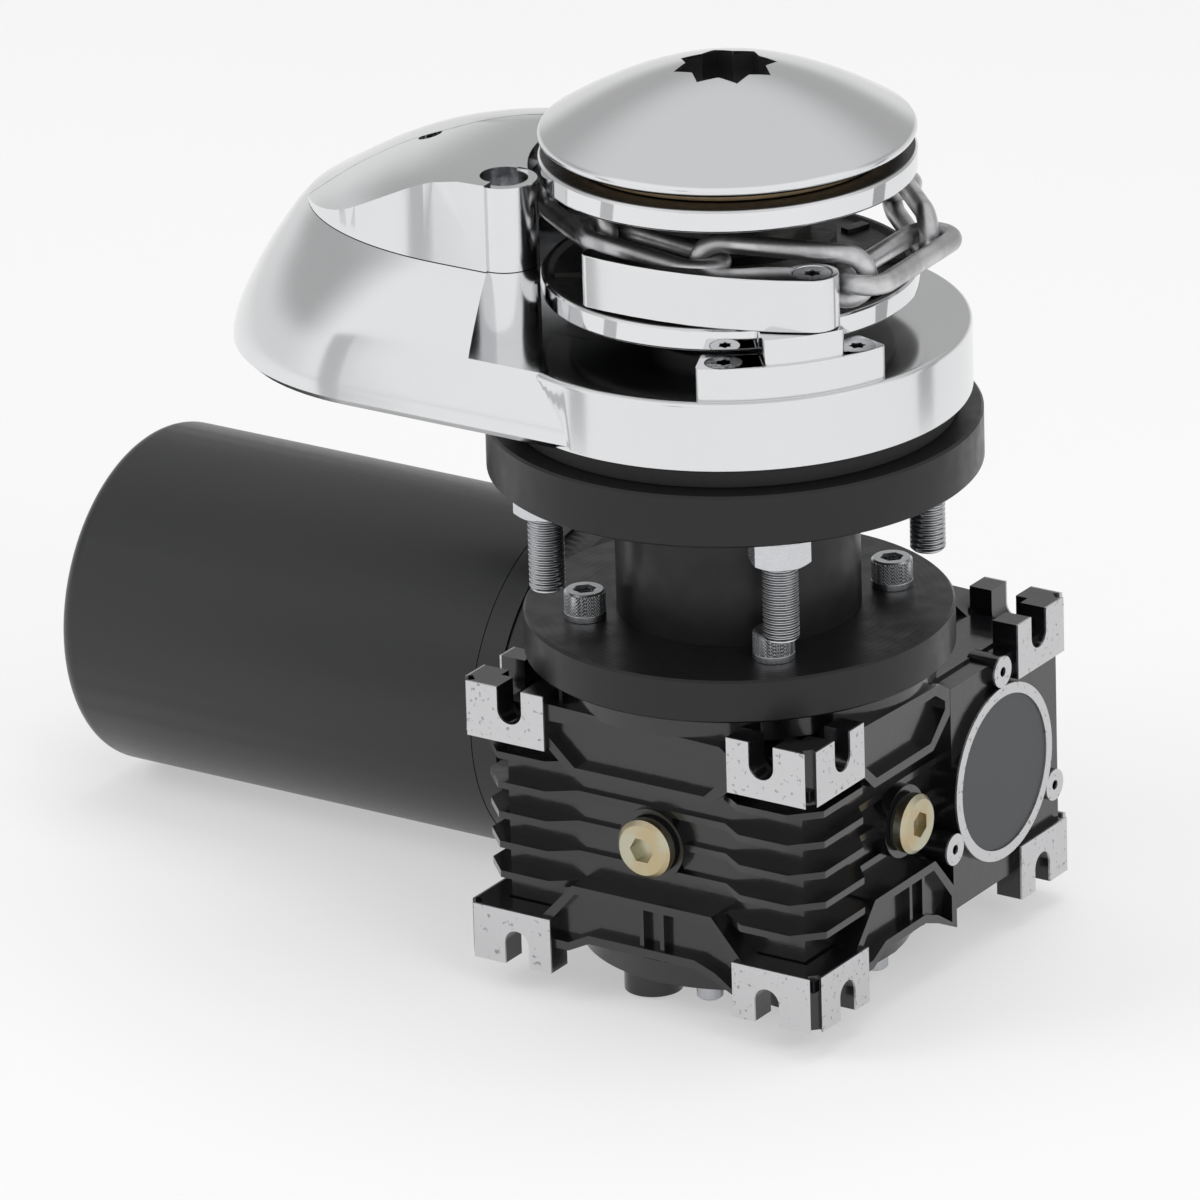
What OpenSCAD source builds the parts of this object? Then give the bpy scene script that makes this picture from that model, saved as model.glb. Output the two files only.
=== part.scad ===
// Vertical anchor windlass for a boat: deck unit, chain wheel with a cone clutch,
// worm gearbox and electric motor.
// The origin lies on the drum axis in the deck plane. Z points up and the motor lies along -X.

/* [Deck base] */
// Radius of the round base plate
plate_r = 79.5; // [77:0.5:82]
// Thickness of the base plate
plate_t = 24.3; // [22:0.1:26]
// Thickness of the rubber gasket under the base
gasket_t = 7; // [5:0.5:9]
// Radius of the gasket
gasket_r = 74.5; // [73:0.5:76]
// Length of the chain pipe opening in the base
pipe_len = 62; // [50:1:66]
// Width of the chain pipe opening
pipe_w = 44; // [36:1:50]

/* [Chain pod] */
// Height of the joint between the pod and its lid above the deck
seam_z = 50; // [48:1:52]
// Wall thickness of the pod and the lid
pod_wall = 6; // [4:0.5:7]
// Gap between the lid and the pod
lid_gap = 0.4; // [0.35:0.05:0.8]
// Radius of the post that the lid turns on
post_r = 11; // [10.6:0.1:11.2]
// Radius of the hole in the lid's post
post_bore_r = 8; // [7:0.1:8.5]
// Distance of the post from the drum axis along the motor
post_x = 56; // [55.8:0.1:58]
// Distance of the post from the drum axis towards the front
post_y = 49; // [48.8:0.1:51]

/* [Chain wheel] */
// Radius of the chain wheel's rims
rim_r = 62.6; // [60:0.1:62.9]
// Thickness of each rim
rim_t = 8; // [7:0.1:9]
// Height of the lower rim's underside above the deck
wheel_z = 35.8; // [35:0.1:38]
// Height of the whole chain wheel
wheel_h = 48.8; // [48:0.1:50]
// Radius of the core between the rims
core_r = 35.4; // [34:0.1:36]
// Radius at the bottom of the central groove
groove_r = 27; // [26:0.1:27.2]
// Height of the central groove
groove_h = 9.4; // [9:0.1:11]
// Number of ribs on each rim's inner face
rim_ribs = 10; // [6:1:12]

/* [Clutch] */
// Radius of the brass cone's visible rim
cone_rim_r = 54; // [50:0.5:56]
// Thickness of the cone's rim
cone_rim_t = 2.2; // [2:0.1:3]
// Large radius of the cone face
cone_r = 46; // [44:0.5:48]
// Depth of the cone face
cone_h = 6.5; // [5:0.5:8]
// Play between the cones and the chain wheel
cone_play = 0.3; // [0.3:0.05:0.5]
// Radius of the dome cap
cap_r = 62.6; // [58:0.1:65]
// Height of the dome above its widest circle
cap_rise = 23.9; // [22:0.1:27]
// Radius of the cap's rim above its widest circle
cap_edge = 2.2; // [2:0.1:4]
// Height of the cap's widest circle above its underside
cap_lip = 3.6; // [2.5:0.1:5]
// Width of the curve under the cap's rim
cap_under = 9; // [3:0.5:12]
// Width across the points of the star socket
star_w = 35; // [30:0.5:36]
// Depth of the star socket
star_depth = 13; // [10:0.5:14]

/* [Chain] */
// Diameter of the chain wire
wire_d = 6.8; // [6.4:0.1:6.8]
// Length of one chain pitch
pitch = 48.7; // [47.5:0.1:50]
// Width of a link over its sides
link_w = 22; // [22:0.1:23]

/* [Pressure arm] */
// Distance of the arm's pivot from the drum axis along the motor
pivot_x = 55.8; // [55:0.1:57]
// Distance of the arm's pivot from the drum axis towards the front
pivot_y = 37.6; // [37:0.1:39]
// Height of the arm's underside above the deck
arm_z = 44.6; // [43:0.1:46]
// Height of the arm
arm_h = 18; // [15:0.5:18]
// Radius of the arm's round end
arm_end_r = 8.8; // [8.5:0.1:9]
// Radius of the arm's pivot pin
arm_pin_r = 3; // [2.5:0.1:3.4]

/* [Spool] */
// Radius of the upper clamp flange
clamp_r = 82.8; // [80:0.1:84]
// Thickness of the clamp flange
clamp_t = 18; // [15:0.5:20]
// Radius of the lower flange
foot_r = 72.2; // [70:0.1:73]
// Thickness of the lower flange
foot_t = 15; // [13:0.5:16]
// Free height between the two flanges
spool_gap = 51; // [48:0.5:54]
// Radius of the tube between the flanges
tube_r = 41; // [40:0.1:42]
// Radius of the bore through the spool
spool_bore_r = 32; // [30:0.5:33]
// Radius of the circle of deck studs
stud_ring_r = 65; // [64.5:0.1:66]
// Diameter of a deck stud
stud_d = 12; // [11:0.1:12.4]
// Length of stud below the clamp flange
stud_drop = 39.5; // [38:0.5:40]
// Radius of the circle of flange screws
screw_ring_r = 52.5; // [51.5:0.1:53]
// Head diameter of a flange screw
screw_head_d = 14; // [12.5:0.1:14.5]

/* [Gear housing] */
// Width of the housing along the motor
box_w = 138; // [136:0.5:142]
// Distance from the drum axis to the front face
box_front = 66; // [65:0.5:68]
// Distance from the drum axis to the rear face
box_back = 98; // [97:0.5:101]
// Height of the housing over its pads
box_h = 100; // [99:0.5:103]
// Gap between the housing's top pads and the lower flange
flange_gap = 3.5; // [3:0.1:5]
// Width of a corner pad
pad_w = 33; // [31:0.5:34]
// Height of a corner pad
pad_h = 19.5; // [18:0.5:20]
// Thickness of a pad's wall
pad_wall = 10; // [8:0.5:11]
// Width of the slot in a pad
slot_w = 9.6; // [8:0.1:11]
// Distance of a slot's centre from the housing's edge
slot_in = 19.5; // [18.5:0.1:20.5]
// Depth of a slot from the pad's end
slot_depth = 12.5; // [11:0.1:13]
// Thickness of a cooling fin
fin_t = 2.4; // [2:0.1:3]
// Distance from fin to fin
fin_pitch = 10.8; // [10.2:0.1:11]
// Height of the lowest fin above the feet
fin_z = 31; // [30:0.5:32]

/* [Gear train] */
// Number of teeth on the worm wheel
wheel_teeth = 30; // [30:1:30]
// Axial module of the gears
gear_module = 2.8; // [2.7:0.05:2.85]
// Pitch diameter of the worm
worm_d = 26; // [25:0.1:27]
// Height of the worm's axis above the feet
worm_h = 50.5; // [50:0.1:51]
// Face width of the worm wheel
face_w = 20; // [16:0.5:21]
// Side play between the teeth
tooth_play = 0.7; // [0.6:0.05:0.8]

/* [Motor] */
// Radius of the motor
motor_r = 60; // [58:0.5:61]
// Distance from the drum axis to the motor's closed end
motor_end = 280; // [275:1:290]
// Distance from the drum axis to the open end of the motor's can
can_start = 107; // [104:1:110]
// Wall thickness of the can
can_t = 4; // [3:0.1:5]
// Rounding of the can's closed end
can_round = 7; // [5:0.5:9]
// Radius of the armature
armature_r = 38; // [36:0.5:40]
// Length of the armature's iron
armature_len = 90; // [80:1:96]

/* [Bearings] */
// Radius of the main shaft
shaft_r = 14; // [13:0.1:14.5]
// Radius of the worm shaft's journals
worm_journal_r = 10; // [9:0.1:10.5]
// Running clearance of shafts in their bearings
running_fit = 0.05; // [0.02:0.01:0.08]
// Gap where a seat only has to meet its neighbour
seat_gap = 0.3; // [0.2:0.05:0.4]

/* [Hidden] */

$fn = 64;
tiny = 0.01;

// Heights, worked down from the deck
clamp_top = -gasket_t;
clamp_z = clamp_top - clamp_t;
foot_top = clamp_z - spool_gap;
foot_z = foot_top - foot_t;
box_top = foot_z - flange_gap;
feet_z = box_top - box_h;
worm_z = feet_z + worm_h;
floor_z = worm_z - motor_r;

// Gears
wheel_pitch_r = wheel_teeth * gear_module / 2;
worm_y = wheel_pitch_r + worm_d / 2;
lead = PI * gear_module;
addendum = gear_module;
dedendum = 1.2 * gear_module;
pressure_tan = tan(20);
worm_turns = 4;

// Wheel and clutch heights
wheel_top = wheel_z + wheel_h;
wheel_mid = wheel_z + wheel_h / 2;
cone_top = wheel_top + cone_play + cone_rim_t;
cap_z = cone_top + seat_gap;
cap_wide = cap_z + cap_lip;
cap_top = cap_wide + cap_rise;
thread_r = 10;
shaft_top = cap_top - star_depth - 3;

post = [-post_x, -post_y];
arm_pivot = [pivot_x, -pivot_y];

// Heights and radii of the pod's lower body, its dome and the hollow inside
body_profile = [[76.5, 0], [78.3, 3], [77.2, 12], [73.8, 24], [68.2, 37], [61, 50.2]];
dome_z = [50, 58, 66, 73, 78, 80.3];
dome_r = [60.5, 53, 44, 35, 26, 18];
hollow_profile = [[66, 20], [66, 26], [54, 50], [45, 60], [35, 68], [24, 73.5]];
nose_r = 70;
dome_scale = 1.53;
dome_shift = 0.25;
dome_x = -79.5;
pod_top = dome_z[len(dome_z) - 1];

// Stretches a child along X and leans it with the height
module leaned(stretch, lean, x) {
    multmatrix([[stretch, 0, lean, x], [0, 1, 0, 0], [0, 0, 1, 0], [0, 0, 0, 1]]) children();
}

// Solid of revolution under a row of radius and height pairs
module turned(rows) {
    rotate_extrude() polygon(concat([[0, rows[0][1]]], rows, [[0, rows[len(rows) - 1][1]]]));
}

// Straight stack between two radii
module ring(r, bore, h) {
    difference() {
        cylinder(r = r, h = h);
        translate([0, 0, -1]) cylinder(r = bore, h = h + 2);
    }
}

// Ball bearing: two rings with a shield between them, on the Z axis from zero
module bearing(outer, inner, h) {
    race = (outer - inner) * 0.28;
    ring(outer, outer - race, h);
    ring(inner + race, inner, h);
    translate([0, 0, h * 0.1]) ring(outer - race + tiny, inner + race - tiny, h * 0.8);
}

module hex_prism(flats, h) {
    cylinder(d = flats / cos(30), h = h, $fn = 6);
}

// Socket head screw with its head standing on z = 0 and its shank below
module socket_screw(d, head_d, head_h, length) {
    difference() {
        union() {
            cylinder(d = head_d, h = head_h - 0.8);
            translate([0, 0, head_h - 0.8]) cylinder(d1 = head_d, d2 = head_d - 1.6, h = 0.8);
            translate([0, 0, -length]) cylinder(d = d, h = length + tiny);
        }
        translate([0, 0, head_h * 0.45]) hex_prism(head_d * 0.5, head_h);
    }
}

module at_quarters(r, first = 45) {
    for (i = [0:3]) rotate([0, 0, first + 90 * i]) translate([r, 0, 0]) children();
}

// Copies a child to both ends of the housing along the motor
module both_ends() {
    for (s = [0, 1]) mirror([s, 0, 0]) children();
}

// Gear housing
core_in = 11;
fin_in = 3;
fin_step = 6;
fin_corner = 9;
panel_t = 9;
panel_rim = 3;
boss_r = 66;
plug_r = 10.3;
plug_x = 1;
plug_z = feet_z + 52;
plug_y = -1;
worm_boss_r = 30.9;
cavity_r = wheel_pitch_r + 6.5;
worm_cavity_r = worm_d / 2 + addendum + 1.8;
worm_bearing_r = 21;
worm_bearing_w = 12;
worm_bearing_x = 34;
main_bearing_r = 31;
main_bearing_w = 14;
cover_r = 56;
cover_t = 8;
cover_lip_r = 46;
cap_disc_r = 27.2;
cap_disc_t = 5;

// Plan outline of a fin: it steps back in the middle of the front and rear
function fin_outline() = let (
    x = box_w / 2 - fin_in,
    f = -(box_front - fin_in),
    b = box_back - fin_in,
    c = fin_corner,
    o = box_w / 2 - pad_w,
    s = fin_step
) [
    [-x, f + c], [-x + c, f], [-o - 2, f], [-o + 7, f + s], [o - 7, f + s], [o + 2, f],
    [x - c, f], [x, f + c], [x, f + pad_w], [x - s, f + pad_w + 7], [x - s, b - pad_w - 7],
    [x, b - pad_w], [x, b - c], [x - c, b], [o + 2, b], [o - 7, b - s], [-o + 7, b - s],
    [-o - 2, b], [-x + c, b], [-x, b - c]
];

// Corner pads of one end: an upright L with an open slot in each leg
module corner_pad() {
    difference() {
        translate([-pad_w, 0, 0]) {
            difference() {
                cube([pad_w, pad_w, pad_h]);
                translate([-1, pad_wall, -1]) cube([pad_w - pad_wall + 1, pad_w, pad_h + 2]);
            }
        }
        translate([-slot_in, -1, pad_h - slot_depth + slot_w / 2]) pad_slot();
        translate([1, slot_in, pad_h - slot_depth + slot_w / 2]) rotate([0, 0, 90]) pad_slot();
        translate([0, 0, -1]) rotate([0, 0, 45]) translate([-1.7, -5, 0]) cube([4, 10, pad_h + 2]);
    }
}

module pad_slot() {
    rotate([-90, 0, 0]) cylinder(d = slot_w, h = pad_wall + 2);
    translate([-slot_w / 2, 0, 0]) cube([slot_w, pad_wall + 2, pad_h]);
}

module pads_of_level() {
    for (sx = [0, 1]) mirror([sx, 0, 0]) {
        translate([box_w / 2, -box_front, 0]) corner_pad();
        translate([box_w / 2, box_back, 0]) mirror([0, 1, 0]) corner_pad();
    }
}

// Framed recess between two pads, drawn in X and Z and standing on the plane y = 0
module panel(outer, pocket) {
    rotate([90, 0, 0]) {
        translate([0, 0, -panel_t]) linear_extrude(panel_t) polygon(outer);
        difference() {
            linear_extrude(panel_rim + 1) polygon(outer);
            translate([0, 0, -tiny]) linear_extrude(panel_rim + 2) polygon(pocket);
        }
    }
}

// Upper and lower panel outlines of a side whose pads leave the opening from -a to b
function upper_panel(a, b, m) = [
    [-a - 4 + m, 97 - m * 2], [-a - 4 + m, 85 + m / 2], [-a + 9 + m / 2, 73 + m],
    [b - 9 - m / 2, 73 + m], [b + 2 - m, 82 + m], [b + 2 - m, 91 - m], [b - 4 - m, 95 - m]
];
function lower_panel(a, b, m) = [
    [-a - 4 + m, 9 + m], [-a - 4 + m, 20 - m / 2], [-a + 8 + m / 3, 33 - m],
    [b - 9 - m / 3, 33 - m], [b + 4 - m, 18 - m / 2], [b + 4 - m, 4 + m],
    [b - 8, 10 + m], [b - 16, 13 + m], [-a + 14, 13 + m], [-a + 6, 9 + m]
];

module side_panels(a, b) {
    panel(upper_panel(a, b, 0), upper_panel(a, b, panel_rim));
    panel(lower_panel(a, b, 0), lower_panel(a, b, panel_rim));
    for (x = [-2, 6]) translate([x, -panel_rim, 12]) cube([1.6, panel_rim + 1, 19]);
}

module worm_axis() {
    translate([0, worm_y, worm_z]) rotate([0, 90, 0]) children();
}

module face_lugs(r, h) {
    for (a = [0, 117, -117]) rotate([0, 0, a - 90]) translate([0, -36.3, 0]) cylinder(r = r, h = h);
}

module housing_solid() {
    side_a = box_w / 2 - pad_w;
    depth = box_front + box_back;
    translate([-box_w / 2 + core_in, -box_front + core_in, feet_z + 9])
        cube([box_w - 2 * core_in, depth - 2 * core_in, box_h - 18]);
    for (i = [0:4]) translate([0, 0, feet_z + fin_z + i * fin_pitch - fin_t / 2])
        linear_extrude(fin_t) polygon(fin_outline());
    translate([0, 0, feet_z + box_h - pad_h]) pads_of_level();
    translate([0, 0, feet_z + pad_h]) mirror([0, 0, 1]) pads_of_level();
    for (s = [0, 1]) for (z = [pad_h - 5.5, box_h - pad_h + 1.5]) mirror([s, 0, 0]) {
        translate([box_w / 2 - pad_w, -box_front + 2, feet_z + z]) cube([pad_w - 2, pad_w, 4]);
        translate([box_w / 2 - pad_w, box_back - pad_w - 2, feet_z + z]) cube([pad_w - 2, pad_w, 4]);
    }
    translate([0, -box_front + 6, feet_z]) side_panels(side_a, side_a);
    translate([0, box_back - 6, feet_z]) mirror([0, 1, 0]) side_panels(side_a, side_a);
    side_b = worm_y - worm_boss_r - 2;
    for (s = [0, 1]) mirror([s, 0, 0])
        translate([box_w / 2 - 6, 0, feet_z]) rotate([0, 0, 90])
            side_panels(box_front - pad_w, side_b);
    translate([0, 0, box_top - 12]) cylinder(r = boss_r - 9.3, h = 12);
    translate([0, 0, box_top - 5]) cylinder(r = boss_r, h = 5 + flange_gap - seat_gap);
    both_ends() {
        translate([box_w / 2 - core_in - 1, worm_y - 29, feet_z + 10])
            cube([core_in - 2, box_back - worm_y + 25, box_h - 20]);
        translate([box_w / 2 - core_in - 1, worm_y, worm_z]) rotate([0, 90, 0])
            cylinder(r = worm_boss_r, h = core_in + 1);
        translate([box_w / 2 - core_in - 1, worm_y, worm_z]) rotate([0, 90, 0])
            face_lugs(5.5, core_in + 1);
    }
    translate([plug_x, -box_front + fin_step + fin_in + 2, plug_z])
        rotate([90, 0, 0]) cylinder(r = plug_r + 2.2, h = 4);
    translate([plug_x, box_back - fin_step - fin_in - 2, plug_z])
        rotate([-90, 0, 0]) cylinder(r = plug_r + 2.2, h = 4);
    translate([box_w / 2 - core_in - 1, plug_y, plug_z])
        rotate([0, 90, 0]) cylinder(r = plug_r + 2.2, h = core_in - 4);
}

module gear_housing() {
    color("#161618") difference() {
        housing_solid();
        translate([0, 0, worm_z - 17]) cylinder(r = cavity_r, h = 34);
        translate([0, 0, feet_z + 4]) cylinder(r = cover_lip_r, h = worm_h - 17);
        translate([0, 0, worm_z + 17 - tiny]) cylinder(r = 26, h = box_h);
        translate([0, 0, box_top - 12]) cylinder(r = main_bearing_r, h = box_h);
        worm_axis() translate([0, 0, -box_w / 2 - 1]) cylinder(r = worm_cavity_r, h = box_w + 2);
        both_ends() worm_axis() translate([0, 0, worm_bearing_x])
            cylinder(r = worm_bearing_r, h = box_w);
        worm_axis() translate([0, 0, box_w / 2 - cap_disc_t]) cylinder(r = cap_disc_r, h = 20);
        worm_axis() translate([0, 0, box_w / 2 - 8]) face_lugs(1.7, 20);
        at_quarters(screw_ring_r) translate([0, 0, box_top - 14]) cylinder(d = 8, h = 30);
        for (a = cover_angles) rotate([0, 0, a]) translate([cover_bolt_r, 0, feet_z + 8])
            cylinder(d = 6, h = 14);
    }
}

// Round cover under the worm wheel, with tapped bosses
cover_bosses = 5;
cover_first = -108;
cover_boss_ring_r = 41;
cover_boss_r = 10;
cover_tap_r = 4;
cover_bolt_r = 50.5;
cover_angles = [for (i = [0:cover_bosses - 1]) cover_first + 36 + i * 360 / cover_bosses];
lower_bearing_r = 26;
lower_bearing_w = 12;
cover_z = feet_z + 9 - cover_t;

module output_cover() {
    color("#19191b") difference() {
        union() {
            translate([0, 0, cover_z]) cylinder(r = cover_r, h = cover_t - seat_gap);
            translate([0, 0, cover_z]) cylinder(r = cover_lip_r - 0.3, h = cover_t + 6);
            translate([0, 0, cover_z - 2]) cylinder(r = 30, h = 3);
            for (i = [0:cover_bosses - 1]) rotate([0, 0, cover_first + i * 360 / cover_bosses])
                translate([cover_boss_ring_r, 0, floor_z])
                    cylinder(r = cover_boss_r, h = cover_z - floor_z + 1);
        }
        translate([0, 0, cover_z + cover_t - 8]) cylinder(r = lower_bearing_r, h = 30);
        translate([0, 0, floor_z - 1]) cylinder(r = shaft_r + 2, h = 40);
        for (i = [0:cover_bosses - 1]) rotate([0, 0, cover_first + i * 360 / cover_bosses])
            translate([cover_boss_ring_r, 0, floor_z - 1]) cylinder(r = cover_tap_r, h = 14);
        for (a = cover_angles) rotate([0, 0, a]) translate([cover_bolt_r, 0, cover_z - 1])
            cylinder(d = 6.4, h = 30);
    }
}

module cover_bolts() {
    color("#8f9092") for (a = cover_angles) rotate([0, 0, a])
        translate([cover_bolt_r, 0, cover_z]) mirror([0, 0, 1]) socket_screw(5.8, 9, 5, cover_t + 9);
}

module worm_cap() {
    color("#46474a") worm_axis() {
        translate([0, 0, box_w / 2 - cap_disc_t + tiny]) cylinder(r = cap_disc_r - 0.1, h = cap_disc_t - 0.6);
        translate([0, 0, box_w / 2 - 12]) ring(worm_bearing_r - 0.1, worm_bearing_r - 3, 8);
    }
}

plug_head = 4.5;
seal_t = 1.6;

// Puts a child on each oil plug's boss, facing outwards
module at_plugs() {
    front = -box_front + fin_step + fin_in - 2;
    back = box_back - fin_step - fin_in + 2;
    side = box_w / 2 - 5;
    translate([plug_x, front, plug_z]) rotate([90, 0, 0]) children();
    translate([plug_x, back, plug_z]) rotate([-90, 0, 0]) children();
    translate([side, plug_y, plug_z]) rotate([0, 90, 0]) children();
}

module oil_plugs() {
    color("#b9a878") at_plugs() translate([0, 0, seal_t]) difference() {
        union() {
            cylinder(r = plug_r, h = plug_head - 1.5);
            translate([0, 0, plug_head - 1.5]) cylinder(r1 = plug_r, r2 = plug_r - 1.5, h = 1.5);
        }
        translate([0, 0, 1]) hex_prism(8, plug_head);
    }
}

module plug_seals() {
    color("#201d1a") at_plugs() ring(plug_r - 0.6, 5, seal_t);
}

// Worm wheel: a throated blank with slanted tooth gaps
module worm_wheel() {
    tip_r = worm_y - (wheel_pitch_r + addendum);
    gap = PI * gear_module / 4 + tooth_play / 2;
    slant = atan(lead / (PI * worm_d));
    color("#b98a45") difference() {
        translate([0, 0, worm_z - face_w / 2]) cylinder(r = wheel_pitch_r + addendum + 2.4, h = face_w);
        translate([0, 0, worm_z]) rotate_extrude() translate([worm_y, 0]) circle(r = tip_r);
        for (i = [0:wheel_teeth - 1])
            rotate([0, 0, 90 + i * 360 / wheel_teeth]) translate([wheel_pitch_r, 0, worm_z])
                rotate([-slant, 0, 0]) translate([0, 0, -face_w])
                    linear_extrude(2 * face_w) polygon([
                        [-dedendum, -gap + dedendum * pressure_tan],
                        [8, -gap - 8 * pressure_tan],
                        [8, gap + 8 * pressure_tan],
                        [-dedendum, gap - dedendum * pressure_tan]
                    ]);
        translate([0, 0, worm_z - face_w]) cylinder(r = shaft_r + running_fit, h = 2 * face_w);
        translate([shaft_r - 3, -4.1, worm_z - face_w]) cube([7, 8.2, 2 * face_w]);
    }
    color("#b98a45") for (s = [0, 1]) translate([0, 0, worm_z]) mirror([0, 0, s])
        translate([0, 0, face_w / 2 - tiny]) difference() {
            cylinder(r = shaft_r + 8, h = 4);
            translate([0, 0, -1]) cylinder(r = shaft_r + running_fit, h = 6);
            translate([shaft_r - 3, -4.1, -1]) cube([7, 8.2, 6]);
        }
}

module wheel_key() {
    color("#7d7f82") translate([shaft_r - 3 + seat_gap / 2, -4, worm_z - face_w / 2 - 2])
        cube([6.4, 8, face_w + 4]);
}

// Radius of the worm's thread at an angle from the middle of its crest
function thread_radius(a) = let (
    half = PI * gear_module / 4 - tooth_play / 2,
    along = abs(a) / 360 * lead
) max(worm_d / 2 - dedendum, min(worm_d / 2 + addendum, worm_d / 2 + (half - along) / pressure_tan));

module worm_shaft() {
    root_r = worm_d / 2 - dedendum;
    thread_l = worm_turns * lead;
    color("#8b8d90") {
        worm_axis() {
            translate([0, 0, -thread_l / 2])
                linear_extrude(thread_l, twist = -360 * worm_turns, slices = worm_turns * 16)
                    polygon([for (a = [-180:20:160]) thread_radius(a) * [cos(a - 90), sin(a - 90)]]);
            translate([0, 0, -worm_bearing_x + 2]) cylinder(r = root_r - 0.2, h = 2 * worm_bearing_x - 4);
            both_ends_z() translate([0, 0, worm_bearing_x - 3]) cylinder(r = worm_journal_r + 2.5, h = 3 - seat_gap);
            translate([0, 0, worm_bearing_x - 4]) cylinder(r = worm_journal_r, h = worm_bearing_w + 8);
            difference() {
                translate([0, 0, -86]) cylinder(r = worm_journal_r, h = 86 - worm_bearing_x + 4);
                translate([0, 0, -87]) cylinder(r = 6 + running_fit, h = 28);
                translate([4, -1.55, -87]) cube([5.2, 3.1, 28]);
            }
        }
    }
}

module both_ends_z() {
    for (s = [0, 1]) mirror([0, 0, s]) children();
}

module worm_bearings() {
    color("#a9abae") worm_axis() both_ends_z() translate([0, 0, worm_bearing_x])
        bearing(worm_bearing_r, worm_journal_r + running_fit, worm_bearing_w);
}

module worm_seal() {
    color("#26262a") worm_axis() translate([0, 0, -worm_bearing_x - worm_bearing_w - 10])
        ring(worm_bearing_r, worm_journal_r + running_fit, 8);
}

module worm_circlip() {
    color("#6d6f72") worm_axis() translate([0, 0, worm_bearing_x + worm_bearing_w + seat_gap / 2])
        difference() {
            ring(worm_journal_r + 4, worm_journal_r, 1.5);
            translate([2, -3, -1]) cube([20, 6, 4]);
        }
}

lower_bearing_z = cover_z + cover_t - 8;
upper_bearing_z = box_top - 12;
deck_bearing_h = 14;
deck_bearing_r = 26;

module main_bearings() {
    color("#a9abae") {
        translate([0, 0, lower_bearing_z]) bearing(lower_bearing_r, shaft_r + running_fit, lower_bearing_w);
        translate([0, 0, upper_bearing_z]) bearing(main_bearing_r, shaft_r + running_fit, main_bearing_w);
    }
}

module shaft_seal() {
    color("#232326") translate([0, 0, -deck_bearing_h])
        ring(spool_bore_r - 6, shaft_r + running_fit, deck_bearing_h - gasket_t);
    color("#232326") translate([0, 0, foot_z + seat_gap])
        ring(spool_bore_r - 0.1, shaft_r + running_fit, 6);
}

module main_shaft() {
    bottom = lower_bearing_z + 1;
    color("#c8cacc") difference() {
        union() {
            translate([0, 0, bottom]) cylinder(r = shaft_r, h = cone_top - 1 - bottom);
            translate([0, 0, bottom]) cylinder(r = thread_r, h = shaft_top - bottom);
            translate([0, 0, lower_bearing_z + lower_bearing_w + seat_gap])
                cylinder(r = shaft_r + 4, h = worm_z - face_w / 2 - 4 - lower_bearing_z - lower_bearing_w - 2 * seat_gap);
            translate([0, 0, plate_t + 0.4]) cylinder(r = shaft_r + 4, h = 2);
        }
        translate([shaft_r - 3, -4, worm_z - face_w / 2 - 2]) cube([7, 8, face_w + 4]);
        translate([shaft_r - 3, -3, wheel_z - 2]) cube([7, 6, wheel_h + 8]);
    }
}

// Motor
adapter_x = box_w / 2;
ring_w = 10;
bolt_ring_r = 46;

module motor_axis() {
    translate([0, worm_y, worm_z]) rotate([0, -90, 0]) children();
}

module motor_adapter() {
    length = can_start - ring_w - adapter_x;
    color("#1c1c1f") motor_axis() translate([0, 0, adapter_x + tiny]) difference() {
        union() {
            cylinder(r = worm_boss_r + 8, h = length);
            translate([0, 0, 6]) cylinder(r1 = worm_boss_r + 10, r2 = motor_r - 1, h = 10);
            translate([0, 0, 16 - tiny]) cylinder(r = motor_r - 1, h = length - 16);
            cylinder(r = bolt_ring_r + 6, h = 6 + tiny);
        }
        translate([0, 0, -1]) cylinder(r = worm_bearing_r, h = length + 2);
        translate([0, 0, length - 10]) cylinder(r = 34, h = 20);
        for (a = [45:90:315]) rotate([0, 0, a]) translate([bolt_ring_r, 0, -1]) cylinder(d = 6.4, h = 40);
    }
}

module adapter_screws() {
    color("#8f9092") motor_axis() translate([0, 0, can_start - ring_w - seat_gap])
        for (a = [45:90:315]) rotate([0, 0, a]) translate([bolt_ring_r, 0, 0])
            translate([0, 0, adapter_x - can_start + ring_w + 2 * seat_gap])
                cylinder(d = 5.8, h = can_start - ring_w - adapter_x - 2 * seat_gap);
}

module motor_ring() {
    color("#202023") motor_axis() translate([0, 0, can_start - ring_w + 0.2]) difference() {
        cylinder(r = motor_r - 0.2, h = ring_w - 0.4);
        translate([0, 0, -1]) cylinder(r = motor_bearing_r + 0.1, h = ring_w + 2);
    }
}

module motor_can() {
    length = motor_end - can_start;
    color("#2a2b2e") motor_axis() translate([0, 0, can_start]) difference() {
        union() {
            cylinder(r = motor_r, h = length - can_round);
            translate([0, 0, length - can_round]) rotate_extrude() difference() {
                union() {
                    square([motor_r - can_round, can_round]);
                    translate([motor_r - can_round, 0]) circle(r = can_round);
                }
                translate([0, -2 * can_round]) square([motor_r + 1, 2 * can_round]);
            }
        }
        translate([0, 0, -1]) cylinder(r = motor_r - can_t, h = length - can_t + 1);
        for (a = terminal_angles) translate([0, 0, 22]) rotate([0, 90, a])
            translate([0, 0, motor_r - 10]) cylinder(r = 6, h = 20);
    }
    color("#2a2b2e") motor_axis() translate([0, 0, motor_end - can_t - 10])
        ring(motor_bearing_r + 5, motor_bearing_r + 0.1, 10 + tiny);
}

// Two studs for the power leads on the side of the can that faces away from the front
terminal_angles = [122, 148];

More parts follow.
